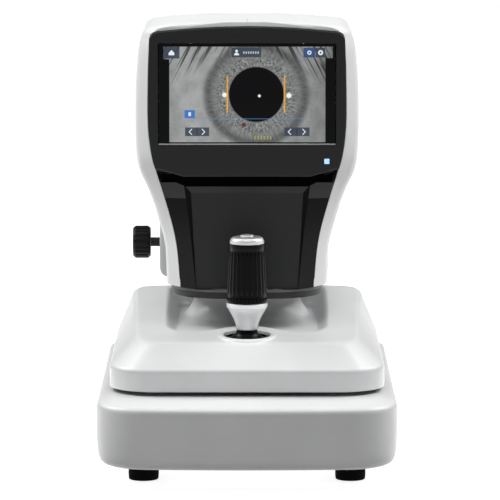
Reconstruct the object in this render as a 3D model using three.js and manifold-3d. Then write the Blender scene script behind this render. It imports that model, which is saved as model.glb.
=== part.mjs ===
// Table-top autorefractor: a base with a headrest, a cross-sliding carriage with a joystick,
// and a measuring head that rides up and down on the carriage.
// Millimetres, +Z up, +Y towards the patient, origin under the middle of the whole object.
import * as THREE from "three";
import { mergeVertices } from "three/addons/utils/BufferGeometryUtils.js";
import Module from "manifold-3d";

const wasm = await Module();
wasm.setup();

// ---------------------------------------------------------------- driving dimensions
const GAP = 0.3; // clearance between pieces that touch
const WALL = 3; // plastic cover thickness

const BASE = {
  halfWidth: 134.5, yFront: -235, yRear: 190, zBottom: 19, zTop: 76,
  cornerRadius: 42, topFillet: 7, bottomFillet: 12, bow: 7,
};
const DECK_OPENING = { halfWidth: 72, yFront: -132, yRear: 92 };
const FOOT = { x: 93, yFront: -160, yRear: 122, radius: 13.8, height: 19 };
const PLATE = { inset: 20, zBottom: BASE.zBottom + GAP, thickness: 3 };

const STAGE = { halfWidth: 64, yFront: -118, yRear: 84, zTop: 52 };
const RAIL = { width: 8, height: 8 };
const Y_RAIL_X = 48;
const CROSS = { halfWidth: 66, yFront: -52, yRear: 62, zBottom: 68.3, thickness: 6 };
const X_RAIL_Y = { front: -40, rear: 50 };
const BLOCK = { width: 20, rise: 1.7, height: 12 };
const Y_BLOCK_LENGTH = 50;
const X_BLOCK_LENGTH = 36;

const CARRIAGE = {
  halfWidth: 124.5, yFront: -168, yRear: 118, zBottom: 80, zSkirt: 99, cornerRadius: 42,
};
const PLATEAU = {
  halfWidth: 109, yFront: -139, yRear: 92, zFront: 120, slope: 0.0952, cornerRadius: 25,
  narrowing: 0.1,
};
const DISH = { halfWidth: 73, yFront: -108, yRear: 112, zFloor: 121.5, cornerRadius: 45 };
const PEDESTAL = { y: 48, radius: 49, zTop: 184, flare: 14 };
const CARRIAGE_PLATE = { halfWidth: 108, yFront: -150, yRear: 104, zBottom: 88.9, thickness: 5 };

const LIFT = { y: 48, columnTop: 185, motorHeight: 27, screwRadius: 4, screwTop: 184 };

const STICK = { y: -110, zPivot: 85, tiltHole: 21.3, shieldRadius: 39.6, bossTop: 123.2 };
const GRIP = { zBottom: 153.5, zTop: 207, rBottom: 18.6, rTop: 16, flutes: 14, fluteDepth: 1.1 };
const CAP = { zTop: 213.6, radius: 15.6, buttonRadius: 6.4, buttonTop: 215.6 };

const HEAD_BOTTOM = 159;
const SKIRT = { zBottom: 150, zTop: 158.7 };
const FASCIA_TOP = 258;
const BEZEL = { zBottom: 265.7, yFront: -87, thickness: 9, lean: 0.05 };
const SCREEN = { halfWidth: 80.6, zBottom: 295, zTop: 386.4 };
const AXIS_Z = 306; // measuring axis
const NOSE = { yBack: 126, yFront: 155, rBack: 47, rFront: 41, bore: 27 };
const REAR_WINDOW = { halfWidth: 62, zBottom: 236, zTop: 376, cornerRadius: 20 };

const HEADREST = {
  y0: 150, y1: 186, split: 168, columnHalfWidth: 48, zCross: 141, zTop: 205,
  xLeft: -85.4, xRight: 79, cornerRadius: 10,
};
const CHIN = { postY0: 171.8, postY1: 182, zPost: 110, zTop: 202, module: 1, pinionTeeth: 12 };
const PINION = { y: 165, z: 174 };
const KNOB = { xOuter: -111.6, thickness: 17.2, radius: 16, flutes: 14 };
const ARCH = { x: 101, xSocket: 71, tube: 4.5, zSocket: 190, zTop: 383, cornerRadius: 30 };

const DOOR = { y0: -70, y1: 10, zBottom: 29, zTop: 67 };
const ROLL = { x: 103, y: -30, z: 46, radius: 21, width: 57, core: 6 };
const PLATEN = { x: 126.3, z: 61, radius: 3.4, pin: 1.5 };
const INLET = { y0: 66, y1: 124, z0: 33, z1: 59, sunk: 2.6, depth: 24 };

// ---------------------------------------------------------------- materials
const paint = (color, roughness, metalness = 0) =>
  new THREE.MeshStandardMaterial({ color, roughness, metalness });
const WHITE = paint(0xe9eaea, 0.45);
const BLACK = paint(0x1c1d1e, 0.5);
const GRIP_BLACK = paint(0x0b0b0c, 0.55);
const DARK_GREY = paint(0x3a3b3c, 0.5);
const SILVER = paint(0xb9bbbd, 0.3, 0.9);
const STEEL = paint(0x9a9da0, 0.35, 1);
const ALUMINIUM = paint(0xc2c5c8, 0.4, 1);
const BRASS = paint(0xb08d45, 0.35, 1);
const RUBBER = paint(0x111111, 0.9);
const SILICONE = paint(0xdadfe2, 0.6);
const GLASS = paint(0x101418, 0.05);
const LENS = paint(0x24303c, 0.03);
const PAPER = paint(0xf4f4f0, 0.85);
const BLUE_LIGHT = paint(0xcfe4ff, 0.3);
const RING_LIGHT = paint(0xe6ecef, 0.4);

// ---------------------------------------------------------------- solid helpers
// A closed BufferGeometry as a manifold-3d solid.
function solid(geometry) {
  const bare = geometry.index ? geometry.toNonIndexed() : geometry.clone();
  bare.deleteAttribute("normal");
  bare.deleteAttribute("uv");
  const merged = mergeVertices(bare, 1e-4);
  return new wasm.Manifold(
    new wasm.Mesh({
      numProp: 3,
      vertProperties: merged.attributes.position.array,
      triVerts: new Uint32Array(merged.index.array),
    }),
  );
}

// A manifold-3d solid as a BufferGeometry.
function geometryOf(made) {
  const mesh = made.getMesh();
  const positions = new Float32Array(mesh.numVert * 3);
  for (let i = 0; i < mesh.numVert; i++) {
    for (let k = 0; k < 3; k++) positions[3 * i + k] = mesh.vertProperties[mesh.numProp * i + k];
  }
  const geometry = new THREE.BufferGeometry();
  geometry.setAttribute("position", new THREE.BufferAttribute(positions, 3));
  geometry.setIndex(new THREE.BufferAttribute(new Uint32Array(mesh.triVerts), 1));
  geometry.computeVertexNormals();
  return geometry;
}

// An axis-aligned box from its two corners.
function box(x0, x1, y0, y1, z0, z1) {
  const geometry = new THREE.BoxGeometry(x1 - x0, y1 - y0, z1 - z0);
  return solid(geometry.translate((x0 + x1) / 2, (y0 + y1) / 2, (z0 + z1) / 2));
}

// A cylinder or cone along "x", "y" or "z", starting at (x, y, z).
function rod(axis, [x, y, z], length, radius, endRadius = radius, sides = 24) {
  const geometry = new THREE.CylinderGeometry(endRadius, radius, length, sides);
  geometry.translate(0, length / 2, 0);
  if (axis === "x") geometry.rotateZ(-Math.PI / 2);
  if (axis === "z") geometry.rotateX(Math.PI / 2);
  return solid(geometry.translate(x, y, z));
}

// A profile of [radius, height] points turned about a line along Z through (x, y).
function lathe(profile, [x, y], sides = 32) {
  const points = profile.map(([r, h]) => new THREE.Vector2(r, h));
  const geometry = new THREE.LatheGeometry(points, sides);
  return solid(geometry.rotateX(Math.PI / 2).translate(x, y, 0));
}

// The same, about a line along Y through (x, z): heights are Y values.
function latheY(profile, [x, z], sides = 32) {
  const points = profile.map(([r, h]) => new THREE.Vector2(r, h));
  return solid(new THREE.LatheGeometry(points, sides).translate(x, 0, z));
}

// A rounded rectangle as a THREE.Shape.
function roundedRect(x0, x1, y0, y1, radius) {
  const shape = new THREE.Shape();
  shape.moveTo(x0 + radius, y0);
  shape.lineTo(x1 - radius, y0);
  shape.absarc(x1 - radius, y0 + radius, radius, -Math.PI / 2, 0, false);
  shape.lineTo(x1, y1 - radius);
  shape.absarc(x1 - radius, y1 - radius, radius, 0, Math.PI / 2, false);
  shape.lineTo(x0 + radius, y1);
  shape.absarc(x0 + radius, y1 - radius, radius, Math.PI / 2, Math.PI, false);
  shape.lineTo(x0, y0 + radius);
  shape.absarc(x0 + radius, y0 + radius, radius, Math.PI, 1.5 * Math.PI, false);
  return shape;
}

// A shape in the XY plane raised from z0 to z1.
function prism(shape, z0, z1, curveSegments = 4) {
  const settings = { depth: z1 - z0, bevelEnabled: false, curveSegments };
  return solid(new THREE.ExtrudeGeometry(shape, settings).translate(0, 0, z0));
}

// A shape drawn in front view, as (x, z), carried along Y from y0 to y1.
function frontPrism(shape, y0, y1, curveSegments = 4) {
  const settings = { depth: y1 - y0, bevelEnabled: false, curveSegments };
  const geometry = new THREE.ExtrudeGeometry(shape, settings);
  return solid(geometry.rotateX(Math.PI / 2).translate(0, y1, 0));
}

// A shape drawn in side view, as (y, z), carried along X from x0 to x1.
function sidePrism(shape, x0, x1, curveSegments = 3) {
  const settings = { depth: x1 - x0, bevelEnabled: false, curveSegments };
  const turn = new THREE.Matrix4().set(0, 0, 1, x0, 1, 0, 0, 0, 0, 1, 0, 0, 0, 0, 0, 1);
  return solid(new THREE.ExtrudeGeometry(shape, settings).applyMatrix4(turn));
}

// A closed solid through rings of [x, y, z] points, all rings with the same count.
function loft(rings) {
  const count = rings[0].length;
  const points = rings.flat();
  const faces = [];
  for (let r = 0; r + 1 < rings.length; r++) {
    for (let i = 0; i < count; i++) {
      const j = (i + 1) % count;
      const a = r * count + i;
      const b = r * count + j;
      faces.push(a, b, b + count, a, b + count, a + count);
    }
  }
  const cap = (first, flip) => {
    const ring = points.slice(first, first + count);
    const middle = [0, 1, 2].map((k) => ring.reduce((sum, p) => sum + p[k], 0) / count);
    const centre = points.push(middle) - 1;
    for (let i = 0; i < count; i++) {
      const a = first + i;
      const b = first + ((i + 1) % count);
      faces.push(...(flip ? [centre, b, a] : [centre, a, b]));
    }
  };
  cap(0, true);
  cap((rings.length - 1) * count, false);
  const geometry = new THREE.BufferGeometry();
  geometry.setAttribute("position", new THREE.Float32BufferAttribute(points.flat(), 3));
  geometry.setIndex(faces);
  return solid(geometry);
}

// A closed ring of a rounded rectangle, counter-clockwise from the front right corner.
// height gives each point's z from its place, and bow pushes the front edge outwards.
function ring({ halfWidth, yFront, yRear, radius, height, bow = 0, steps = 6 }) {
  const corners = [
    [halfWidth - radius, yFront + radius, -90],
    [halfWidth - radius, yRear - radius, 0],
    [-halfWidth + radius, yRear - radius, 90],
    [-halfWidth + radius, yFront + radius, 180],
  ];
  const points = [];
  for (const [cx, cy, start] of corners) {
    for (let i = 0; i <= steps; i++) {
      const angle = THREE.MathUtils.degToRad(start + (90 * i) / steps);
      points.push([cx + radius * Math.cos(angle), cy + radius * Math.sin(angle)]);
    }
  }
  const across = 5;
  for (let i = 1; i < across; i++) {
    const t = -1 + (2 * i) / across;
    points.push([t * (halfWidth - radius), yFront]);
  }
  return points.map(([x, y]) => {
    const share = Math.max(0, 1 - (x / halfWidth) ** 2);
    const bowed = y < 0 ? y - bow * share : y;
    return [x, bowed, typeof height === "function" ? height(x, bowed) : height];
  });
}

const object = new THREE.Group();

// Adds one named sub-part to the object.
function part(name, made, material) {
  const mesh = new THREE.Mesh(geometryOf(made), material);
  mesh.name = name;
  object.add(mesh);
}

// ---------------------------------------------------------------- base
// The base's outer form, taken in by inset all round and on top.
function baseForm(inset, zLow) {
  const { halfWidth, yFront, yRear, zBottom, zTop, cornerRadius, topFillet, bottomFillet } = BASE;
  const level = (z, pull) =>
    ring({
      halfWidth: halfWidth - inset - pull,
      yFront: yFront + inset + pull + BASE.bow,
      yRear: yRear - inset - pull,
      radius: cornerRadius - inset - pull * 0.6,
      bow: BASE.bow,
      height: z,
    });
  const rings = [];
  if (zLow < zBottom) rings.push(level(zLow, bottomFillet));
  for (const degrees of [0, 25, 50, 90]) {
    const angle = THREE.MathUtils.degToRad(degrees);
    const pull = bottomFillet * (1 - Math.sin(angle));
    rings.push(level(zBottom + bottomFillet * (1 - Math.cos(angle)), pull));
  }
  for (const degrees of [0, 30, 60, 90]) {
    const angle = THREE.MathUtils.degToRad(degrees);
    const pull = topFillet * (1 - Math.cos(angle));
    rings.push(level(zTop - inset - topFillet * (1 - Math.sin(angle)), pull));
  }
  return loft(rings);
}

function buildBase() {
  const { halfWidth, zTop } = BASE;
  const deck = roundedRect(
    -DECK_OPENING.halfWidth, DECK_OPENING.halfWidth, DECK_OPENING.yFront, DECK_OPENING.yRear, 8,
  );
  const cutInlet = box(
    -halfWidth - 5, -halfWidth + WALL + 4,
    INLET.y0 - GAP, INLET.y1 + GAP, INLET.z0 - GAP, INLET.z1 + GAP,
  );
  const cutDoor = box(
    halfWidth - WALL - 6, halfWidth + 5,
    DOOR.y0 - 0.6, DOOR.y1 + 0.6, DOOR.zBottom - 0.8, DOOR.zTop + 0.6,
  );
  const shell = baseForm(0, BASE.zBottom)
    .subtract(baseForm(WALL, BASE.zBottom - 4))
    .subtract(prism(deck, zTop - 8, zTop + 4))
    .subtract(cutInlet)
    .subtract(cutDoor);
  part("base_shell", shell, WHITE);

  const inset = PLATE.inset;
  const plateOutline = roundedRect(
    -halfWidth + inset, halfWidth - inset, BASE.yFront + inset + 4, BASE.yRear - inset, 26,
  );
  part("base_plate", prism(plateOutline, PLATE.zBottom, PLATE.zBottom + PLATE.thickness), STEEL);

  for (const [side, x] of [["left", -FOOT.x], ["right", FOOT.x]]) {
    for (const [end, y] of [["front", FOOT.yFront], ["rear", FOOT.yRear]]) {
      const { radius, height } = FOOT;
      const profile = [
        [0, 0], [radius - 3, 0], [radius - 0.8, 1], [radius, 3.2], [radius, height], [0, height],
      ];
      part(`foot_${end}_${side}`, lathe(profile, [x, y], 24), RUBBER);
    }
  }
}

// ---------------------------------------------------------------- stage under the carriage
function buildStage() {
  const low = PLATE.zBottom + PLATE.thickness + GAP;
  const { halfWidth, yFront, yRear, zTop } = STAGE;
  const bed = box(-halfWidth, halfWidth, yFront, yRear, low, zTop).subtract(
    box(-halfWidth + 12, halfWidth - 12, yFront - 1, yRear + 1, low - 1, zTop - 8),
  );
  part("stage_bed", bed, ALUMINIUM);

  const railBottom = zTop + GAP;
  const railTop = railBottom + RAIL.height;
  const blockBottom = railBottom + BLOCK.rise;
  for (const [side, x] of [["left", -Y_RAIL_X], ["right", Y_RAIL_X]]) {
    const half = RAIL.width / 2;
    part(
      `y_rail_${side}`,
      box(x - half, x + half, yFront + 4, yRear - 4, railBottom, railTop),
      STEEL,
    );
    const middle = (CROSS.yFront + CROSS.yRear) / 2;
    const saddle = box(
      x - BLOCK.width / 2, x + BLOCK.width / 2,
      middle - Y_BLOCK_LENGTH / 2, middle + Y_BLOCK_LENGTH / 2,
      blockBottom, CROSS.zBottom - GAP,
    ).subtract(
      box(x - half - GAP, x + half + GAP, -300, 300, blockBottom - 1, railTop + 0.6),
    );
    part(`y_block_${side}`, saddle, STEEL);
  }

  const crossTop = CROSS.zBottom + CROSS.thickness;
  const crossPlate = prism(
    roundedRect(-CROSS.halfWidth, CROSS.halfWidth, CROSS.yFront, CROSS.yRear, 6),
    CROSS.zBottom, crossTop,
  );
  part("cross_plate", crossPlate, ALUMINIUM);

  const xRailBottom = crossTop + GAP;
  const xRailTop = xRailBottom + RAIL.height;
  const xBlockBottom = xRailBottom + BLOCK.rise;
  for (const [end, y] of Object.entries(X_RAIL_Y)) {
    const half = RAIL.width / 2;
    part(
      `x_rail_${end}`,
      box(-CROSS.halfWidth + 2, CROSS.halfWidth - 2, y - half, y + half, xRailBottom, xRailTop),
      STEEL,
    );
    const saddle = box(
      -X_BLOCK_LENGTH / 2, X_BLOCK_LENGTH / 2, y - BLOCK.width / 2, y + BLOCK.width / 2,
      xBlockBottom, CARRIAGE_PLATE.zBottom - GAP,
    ).subtract(
      box(-300, 300, y - half - GAP, y + half + GAP, xBlockBottom - 1, xRailTop + 0.6),
    );
    part(`x_block_${end}`, saddle, STEEL);
  }
}

// ---------------------------------------------------------------- carriage
const plateauHeight = (y) => PLATEAU.zFront + (y - PLATEAU.yFront) * PLATEAU.slope;
// The plateau is narrower in front than behind.
const plateauShare = (y) =>
  1 - PLATEAU.narrowing * (PLATEAU.yRear - y) / (PLATEAU.yRear - PLATEAU.yFront);

// The carriage cover's outer form, taken in by inset on every side but below.
function carriageForm(inset, zLow) {
  const skirt = (z) =>
    ring({
      halfWidth: CARRIAGE.halfWidth - inset,
      yFront: CARRIAGE.yFront + inset,
      yRear: CARRIAGE.yRear - inset,
      radius: CARRIAGE.cornerRadius - inset,
      height: z,
    });
  const plateau = ring({
    halfWidth: PLATEAU.halfWidth - inset * 0.4,
    yFront: PLATEAU.yFront + inset * 0.5,
    yRear: PLATEAU.yRear - inset * 0.4,
    radius: PLATEAU.cornerRadius,
    height: (x, y) => plateauHeight(y) - inset,
  }).map(([x, y, z]) => [x * plateauShare(y), y, z]);
  return loft([skirt(zLow), skirt(CARRIAGE.zSkirt - inset * 0.3), plateau]);
}

function buildCarriage() {
  const stickAt = [0, STICK.y];
  const dishShape = roundedRect(
    -DISH.halfWidth, DISH.halfWidth, DISH.yFront, DISH.yRear, DISH.cornerRadius,
  );
  const boss = (extra, top) =>
    lathe([[0, 100], [36 + extra, 100], [32 + extra, top], [0, top]], stickAt);
  const dish = prism(dishShape, DISH.zFloor, 160).subtract(boss(0.01, STICK.bossTop));
  const pedestalAt = [0, PEDESTAL.y];
  const { radius, flare, zTop } = PEDESTAL;
  const floor = DISH.zFloor;
  const pedestal = lathe(
    [
      [0, floor - 2], [radius + flare * 0.6, floor - 2], [radius + flare * 0.6, floor],
      [radius + flare * 0.25, floor + flare * 0.2], [radius + flare * 0.07, floor + flare * 0.5],
      [radius, floor + flare], [radius, zTop], [0, zTop],
    ],
    pedestalAt, 36,
  );
  const pedestalBore = lathe(
    [[0, 60], [radius - WALL, 60], [radius - WALL, zTop + 1], [0, zTop + 1]], pedestalAt, 36,
  );
  const outer = carriageForm(0, CARRIAGE.zBottom)
    .add(boss(0, STICK.bossTop))
    .subtract(dish)
    .add(pedestal);
  const inner = carriageForm(WALL, CARRIAGE.zBottom - 1)
    .subtract(prism(dishShape, DISH.zFloor - WALL, 160))
    .add(rod("z", [0, STICK.y, 70], STICK.bossTop - 3 - 70, 28));
  const cover = outer
    .subtract(inner)
    .subtract(pedestalBore)
    .subtract(rod("z", [0, STICK.y, 70], 80, STICK.tiltHole, STICK.tiltHole, 32));
  part("carriage_cover", cover, WHITE);

  const { halfWidth, yFront, yRear, zBottom, thickness } = CARRIAGE_PLATE;
  const plateTop = zBottom + thickness;
  const postX = 24;
  let plate = prism(
    roundedRect(-halfWidth, halfWidth, yFront, yRear, 30), zBottom, plateTop,
  ).subtract(rod("z", [0, STICK.y, zBottom - 2], 12, 30));
  for (const side of [-1, 1]) {
    const x0 = side > 0 ? postX : -postX - 8;
    const arm = box(x0, x0 + 8, STICK.y - 7, STICK.y + 7, STICK.zPivot - 6, plateTop);
    const pinHole = rod("x", [x0 - 1, STICK.y, STICK.zPivot], 10, 2.5, 2.5, 12);
    plate = plate.add(arm).subtract(pinHole);
  }
  part("carriage_plate", plate, ALUMINIUM);

  const low = plateTop + GAP;
  const y = LIFT.y;
  const channel = box(-26, 26, y - 22, y + 22, low, LIFT.columnTop).subtract(
    box(-21, 21, y - 30, y + 17, low + LIFT.motorHeight + 2, LIFT.columnTop + 1),
  ).subtract(box(-21, 21, y - 30, y + 17, low - 1, low + LIFT.motorHeight + 3));
  part("lift_column", channel, ALUMINIUM);
  const motorTop = low + LIFT.motorHeight;
  const motor = prism(roundedRect(-17, 17, y - 18, y + 16, 3), low, motorTop);
  part("lift_motor", motor, DARK_GREY);
  const screw = [
    [0, motorTop + GAP], [6, motorTop + GAP], [6, motorTop + 6],
    [LIFT.screwRadius, motorTop + 6], [LIFT.screwRadius, LIFT.screwTop], [0, LIFT.screwTop],
  ];
  part("lift_screw", lathe(screw, [0, y], 16), STEEL);
}

// ---------------------------------------------------------------- joystick
function buildStick() {
  const at = [0, STICK.y];
  const z = STICK.zPivot;
  const ringSolid = lathe(
    [[14, z - 4], [19.5, z - 4], [19.5, z + 4], [14, z + 4], [14, z - 4]], at, 24,
  )
    .add(rod("x", [18, STICK.y, z], 12, 2, 2, 12))
    .add(rod("x", [-30, STICK.y, z], 12, 2, 2, 12))
    .subtract(rod("y", [0, STICK.y - 25, z], 50, 2.4, 2.4, 12));
  part("gimbal_ring", ringSolid, STEEL);

  const stem = lathe(
    [
      [0, z - 6], [9, z - 6], [9, z + 6], [5, z + 9],
      [5, GRIP.zTop - 6], [3, GRIP.zTop - 6], [3, GRIP.zTop - 2.5], [0, GRIP.zTop - 2.5],
    ],
    at, 24,
  ).add(rod("y", [0, STICK.y - 19, z], 38, 1.9, 1.9, 12));
  part("stick_stem", stem, STEEL);

  // Spherical dust shield about the pivot, with a short cone up the stem.
  const shield = [];
  const outerR = STICK.shieldRadius;
  const point = (radius, degrees) => {
    const angle = THREE.MathUtils.degToRad(degrees);
    return [radius * Math.sin(angle), z + radius * Math.cos(angle)];
  };
  const innerR = outerR - 1.8;
  for (let degrees = 50; degrees >= 20; degrees -= 10) shield.push(point(outerR, degrees));
  shield.push([12.6, z + outerR - 1.2], [9.2, z + outerR + 3.6], [5.4, z + outerR + 3.6]);
  shield.push([5.4, z + innerR]);
  for (let degrees = 20; degrees <= 50; degrees += 10) shield.push(point(innerR, degrees));
  shield.push(shield[0]);
  part("stick_shield", lathe(shield, at, 28), GRIP_BLACK);

  const coneBottom = z + outerR + 3.9;
  const cone = [
    [5.4, coneBottom], [9.6, coneBottom], [11.4, coneBottom + 6], [15.2, coneBottom + 13],
    [18, GRIP.zBottom - 4.4], [18.4, GRIP.zBottom - GAP], [5.4, GRIP.zBottom - GAP],
    [5.4, coneBottom],
  ];
  part("stick_collar", lathe(cone, at, 28), SILVER);

  // Fluted sleeve that turns on the stem.
  const { zBottom, zTop, rBottom, rTop, flutes, fluteDepth } = GRIP;
  const fluted = (height, radius, depth) => {
    const points = [];
    const sides = flutes * 4;
    for (let i = 0; i < sides; i++) {
      const angle = (2 * Math.PI * i) / sides;
      const r = radius - (depth * (1 - Math.cos((2 * Math.PI * i) / 4))) / 2;
      points.push([r * Math.cos(angle), STICK.y + r * Math.sin(angle), height]);
    }
    return points;
  };
  const sleeve = loft([
    fluted(zBottom, rBottom - 1, 0), fluted(zBottom + 1.2, rBottom, 0),
    fluted(zBottom + 4.6, rBottom, 0), fluted(zBottom + 6.4, rBottom, fluteDepth),
    fluted(zTop - 7, rTop + 0.6, fluteDepth), fluted(zTop - 4.5, rTop + 0.1, 0),
    fluted(zTop, rTop, 0),
  ]).subtract(rod("z", [0, STICK.y, zBottom - 5], zTop - zBottom + 10, 5.6));
  part("stick_grip", sleeve, GRIP_BLACK);

  const capBottom = zTop + GAP;
  const { radius, buttonRadius, buttonTop } = CAP;
  const well = buttonRadius + 0.5;
  const cap = [
    [3.4, capBottom], [radius, capBottom], [radius - 0.6, capBottom + 4],
    [radius - 2.6, CAP.zTop - 0.6], [well, CAP.zTop], [well, capBottom + 2],
    [3.4, capBottom + 2], [3.4, capBottom],
  ];
  part("grip_cap", lathe(cap, at, 28), SILVER);
  const button = [
    [0, capBottom + 4.4], [buttonRadius, capBottom + 4.4], [buttonRadius, buttonTop - 1],
    [buttonRadius - 1.2, buttonTop - 0.2], [0, buttonTop],
  ];
  part("trigger_button", lathe(button, at, 20), SILVER);
}

// ---------------------------------------------------------------- measuring head
// Stations up the head: half-width, where the front strip of the cover starts (xEdge, yEdge),
// where it meets the side (ySide), the lower fascia's flat (xPanel, yPanel) and the rear.
const HEAD_STATIONS = [
  { z: 159, side: 74.6, ySide: -28, xEdge: 61.4, yEdge: -50, xPanel: 47, yPanel: -66, yRear: 108 },
  { z: 190, side: 75.5, ySide: -30, xEdge: 63.9, yEdge: -52, xPanel: 50, yPanel: -66, yRear: 108 },
  { z: 205, side: 78, ySide: -32, xEdge: 66, yEdge: -53, xPanel: 51.5, yPanel: -66, yRear: 109 },
  { z: 219, side: 82, ySide: -34, xEdge: 69, yEdge: -55, xPanel: 53, yPanel: -66, yRear: 111 },
  { z: 234, side: 86, ySide: -38, xEdge: 73, yEdge: -58, xPanel: 55, yPanel: -66, yRear: 115 },
  { z: 249, side: 91.4, ySide: -43, xEdge: 77.2, yEdge: -63, xPanel: 57, yPanel: -66, yRear: 120 },
  { z: 268, side: 99.2, ySide: -52, xEdge: 82.6, yEdge: -72, xPanel: 60, yPanel: -76, yRear: 125 },
  { z: 285, side: 101.7, ySide: -58, xEdge: 87.3, yEdge: -79, xPanel: 62, yPanel: -82, yRear: 125 },
  { z: 312, side: 102.3, ySide: -62, xEdge: 90.2, yEdge: -82, xPanel: 62, yPanel: -84, yRear: 125 },
  { z: 349, side: 101.7, ySide: -61, xEdge: 90.2, yEdge: -80, xPanel: 62, yPanel: -82, yRear: 125 },
  { z: 377, side: 99.6, ySide: -59, xEdge: 89.4, yEdge: -78, xPanel: 62, yPanel: -80, yRear: 123 },
  { z: 390, side: 97, ySide: -58, xEdge: 87, yEdge: -77, xPanel: 62, yPanel: -79, yRear: 118 },
  { z: 398, side: 92.5, ySide: -60, xEdge: 84, yEdge: -77, xPanel: 60, yPanel: -78.5, yRear: 95 },
  { z: 402, side: 80, ySide: -66, xEdge: 70, yEdge: -77, xPanel: 50, yPanel: -78, yRear: 72 },
  { z: 405.5, side: 40, ySide: -70, xEdge: 32, yEdge: -76, xPanel: 20, yPanel: -77, yRear: 50 },
];

// One level of the head's outer form, taken in by inset.
function headRing(station, inset) {
  const side = station.side - inset;
  const rear = station.yRear - inset;
  const edge = Math.min(station.xEdge, side - 2);
  const corner = Math.min(26, side * 0.4);
  const half = [
    [station.xPanel - inset * 0.4, station.yPanel + inset],
    [edge - inset * 0.5, station.yEdge + inset * 0.9],
    [side - 2.4, station.ySide - 4 + inset * 0.3],
    [side, station.ySide + 4],
    [side, rear - corner],
    [side - corner * 0.3, rear - corner * 0.3],
    [side - corner, rear],
  ];
  const mirrored = half.map(([x, y]) => [-x, y]).reverse();
  return [...half, ...mirrored].map(([x, y]) => [x, y, station.z]);
}

function headForm(inset, zLow) {
  const rings = HEAD_STATIONS.map((station) => {
    const lowered = { ...station, z: station.z > 395 ? station.z - inset : station.z };
    return headRing(lowered, inset);
  });
  if (inset) rings.pop();
  if (zLow < HEAD_BOTTOM) rings.unshift(rings[0].map(([x, y]) => [x, y, zLow]));
  return loft(rings);
}

// The dark front in front view, as (x, z), grown by grow. It runs from low to the bezel's top.
function frontOutline(grow, low) {
  const edge = HEAD_STATIONS.filter((s) => s.z > low && s.z < 380);
  const right = [new THREE.Vector2(61.2 + grow, low)];
  for (const s of edge) right.push(new THREE.Vector2(s.xEdge + grow, s.z));
  right.push(new THREE.Vector2(89 + grow, 386), new THREE.Vector2(87 + grow, 393.5 + grow));
  right.push(new THREE.Vector2(81 + grow, 396.8 + grow));
  right.push(new THREE.Vector2(42, 400.4 + grow), new THREE.Vector2(0, 401.8 + grow));
  const left = right.slice(0, -1).reverse().map((p) => new THREE.Vector2(-p.x, p.y));
  return new THREE.Shape([...right, ...left]);
}

function buildHead() {
  const hollow = headForm(WALL + 0.8, HEAD_BOTTOM - 4);
  const rearHole = frontPrism(
    roundedRect(
      -REAR_WINDOW.halfWidth, REAR_WINDOW.halfWidth,
      REAR_WINDOW.zBottom, REAR_WINDOW.zTop, REAR_WINDOW.cornerRadius,
    ), 100, 140,
  );
  const shell = headForm(0, HEAD_BOTTOM)
    .subtract(hollow)
    .subtract(frontPrism(frontOutline(GAP, HEAD_BOTTOM - 5), -140, 0))
    .subtract(rearHole);
  part("head_cover_left", shell.intersect(box(-150, -GAP / 2, -150, 150, 100, 450)), WHITE);
  part("head_cover_right", shell.intersect(box(GAP / 2, 150, -150, 150, 100, 450)), WHITE);

  // Lower fascia: the dark front of the neck, with a shallow inset panel.
  const fasciaZone = frontPrism(frontOutline(0, HEAD_BOTTOM), -140, -34).intersect(
    box(-150, 150, -140, 0, HEAD_BOTTOM, FASCIA_TOP),
  );
  const panel = new THREE.Shape([
    new THREE.Vector2(-45, HEAD_BOTTOM - 1), new THREE.Vector2(45, HEAD_BOTTOM - 1),
    new THREE.Vector2(51.5, 246), new THREE.Vector2(48, 250),
    new THREE.Vector2(-48, 250), new THREE.Vector2(-51.5, 246),
  ]);
  const fascia = headForm(0, HEAD_BOTTOM)
    .intersect(fasciaZone)
    .subtract(headForm(WALL, HEAD_BOTTOM - 4))
    .subtract(frontPrism(panel, -100, -65));
  // A set-back strip closes the groove under the screen bezel.
  const grooveDepth = 2;
  const groove = headForm(grooveDepth, HEAD_BOTTOM - 4)
    .intersect(frontPrism(frontOutline(-2, HEAD_BOTTOM), -140, -42))
    .intersect(box(-150, 150, -140, 0, FASCIA_TOP - 4, BEZEL.zBottom - GAP))
    .subtract(headForm(grooveDepth + WALL, HEAD_BOTTOM - 4));
  part("lower_fascia", fascia.add(groove), BLACK);

  buildScreen();

  // Dark skirt round the head's lower edge.
  const skirtRing = (grow, z) =>
    ring({
      halfWidth: 69.5 + grow, yFront: -67 - grow, yRear: 104 + grow, radius: 48 + grow, height: z,
    });
  const skirt = loft([skirtRing(-1.5, SKIRT.zBottom), skirtRing(0, SKIRT.zBottom + 1.5),
    skirtRing(0, SKIRT.zTop)]).subtract(
    loft([skirtRing(-3.5, SKIRT.zBottom - 2), skirtRing(-3.5, SKIRT.zTop + 2)]),
  );
  part("head_skirt", skirt, DARK_GREY);

  buildOptics();
}

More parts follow.
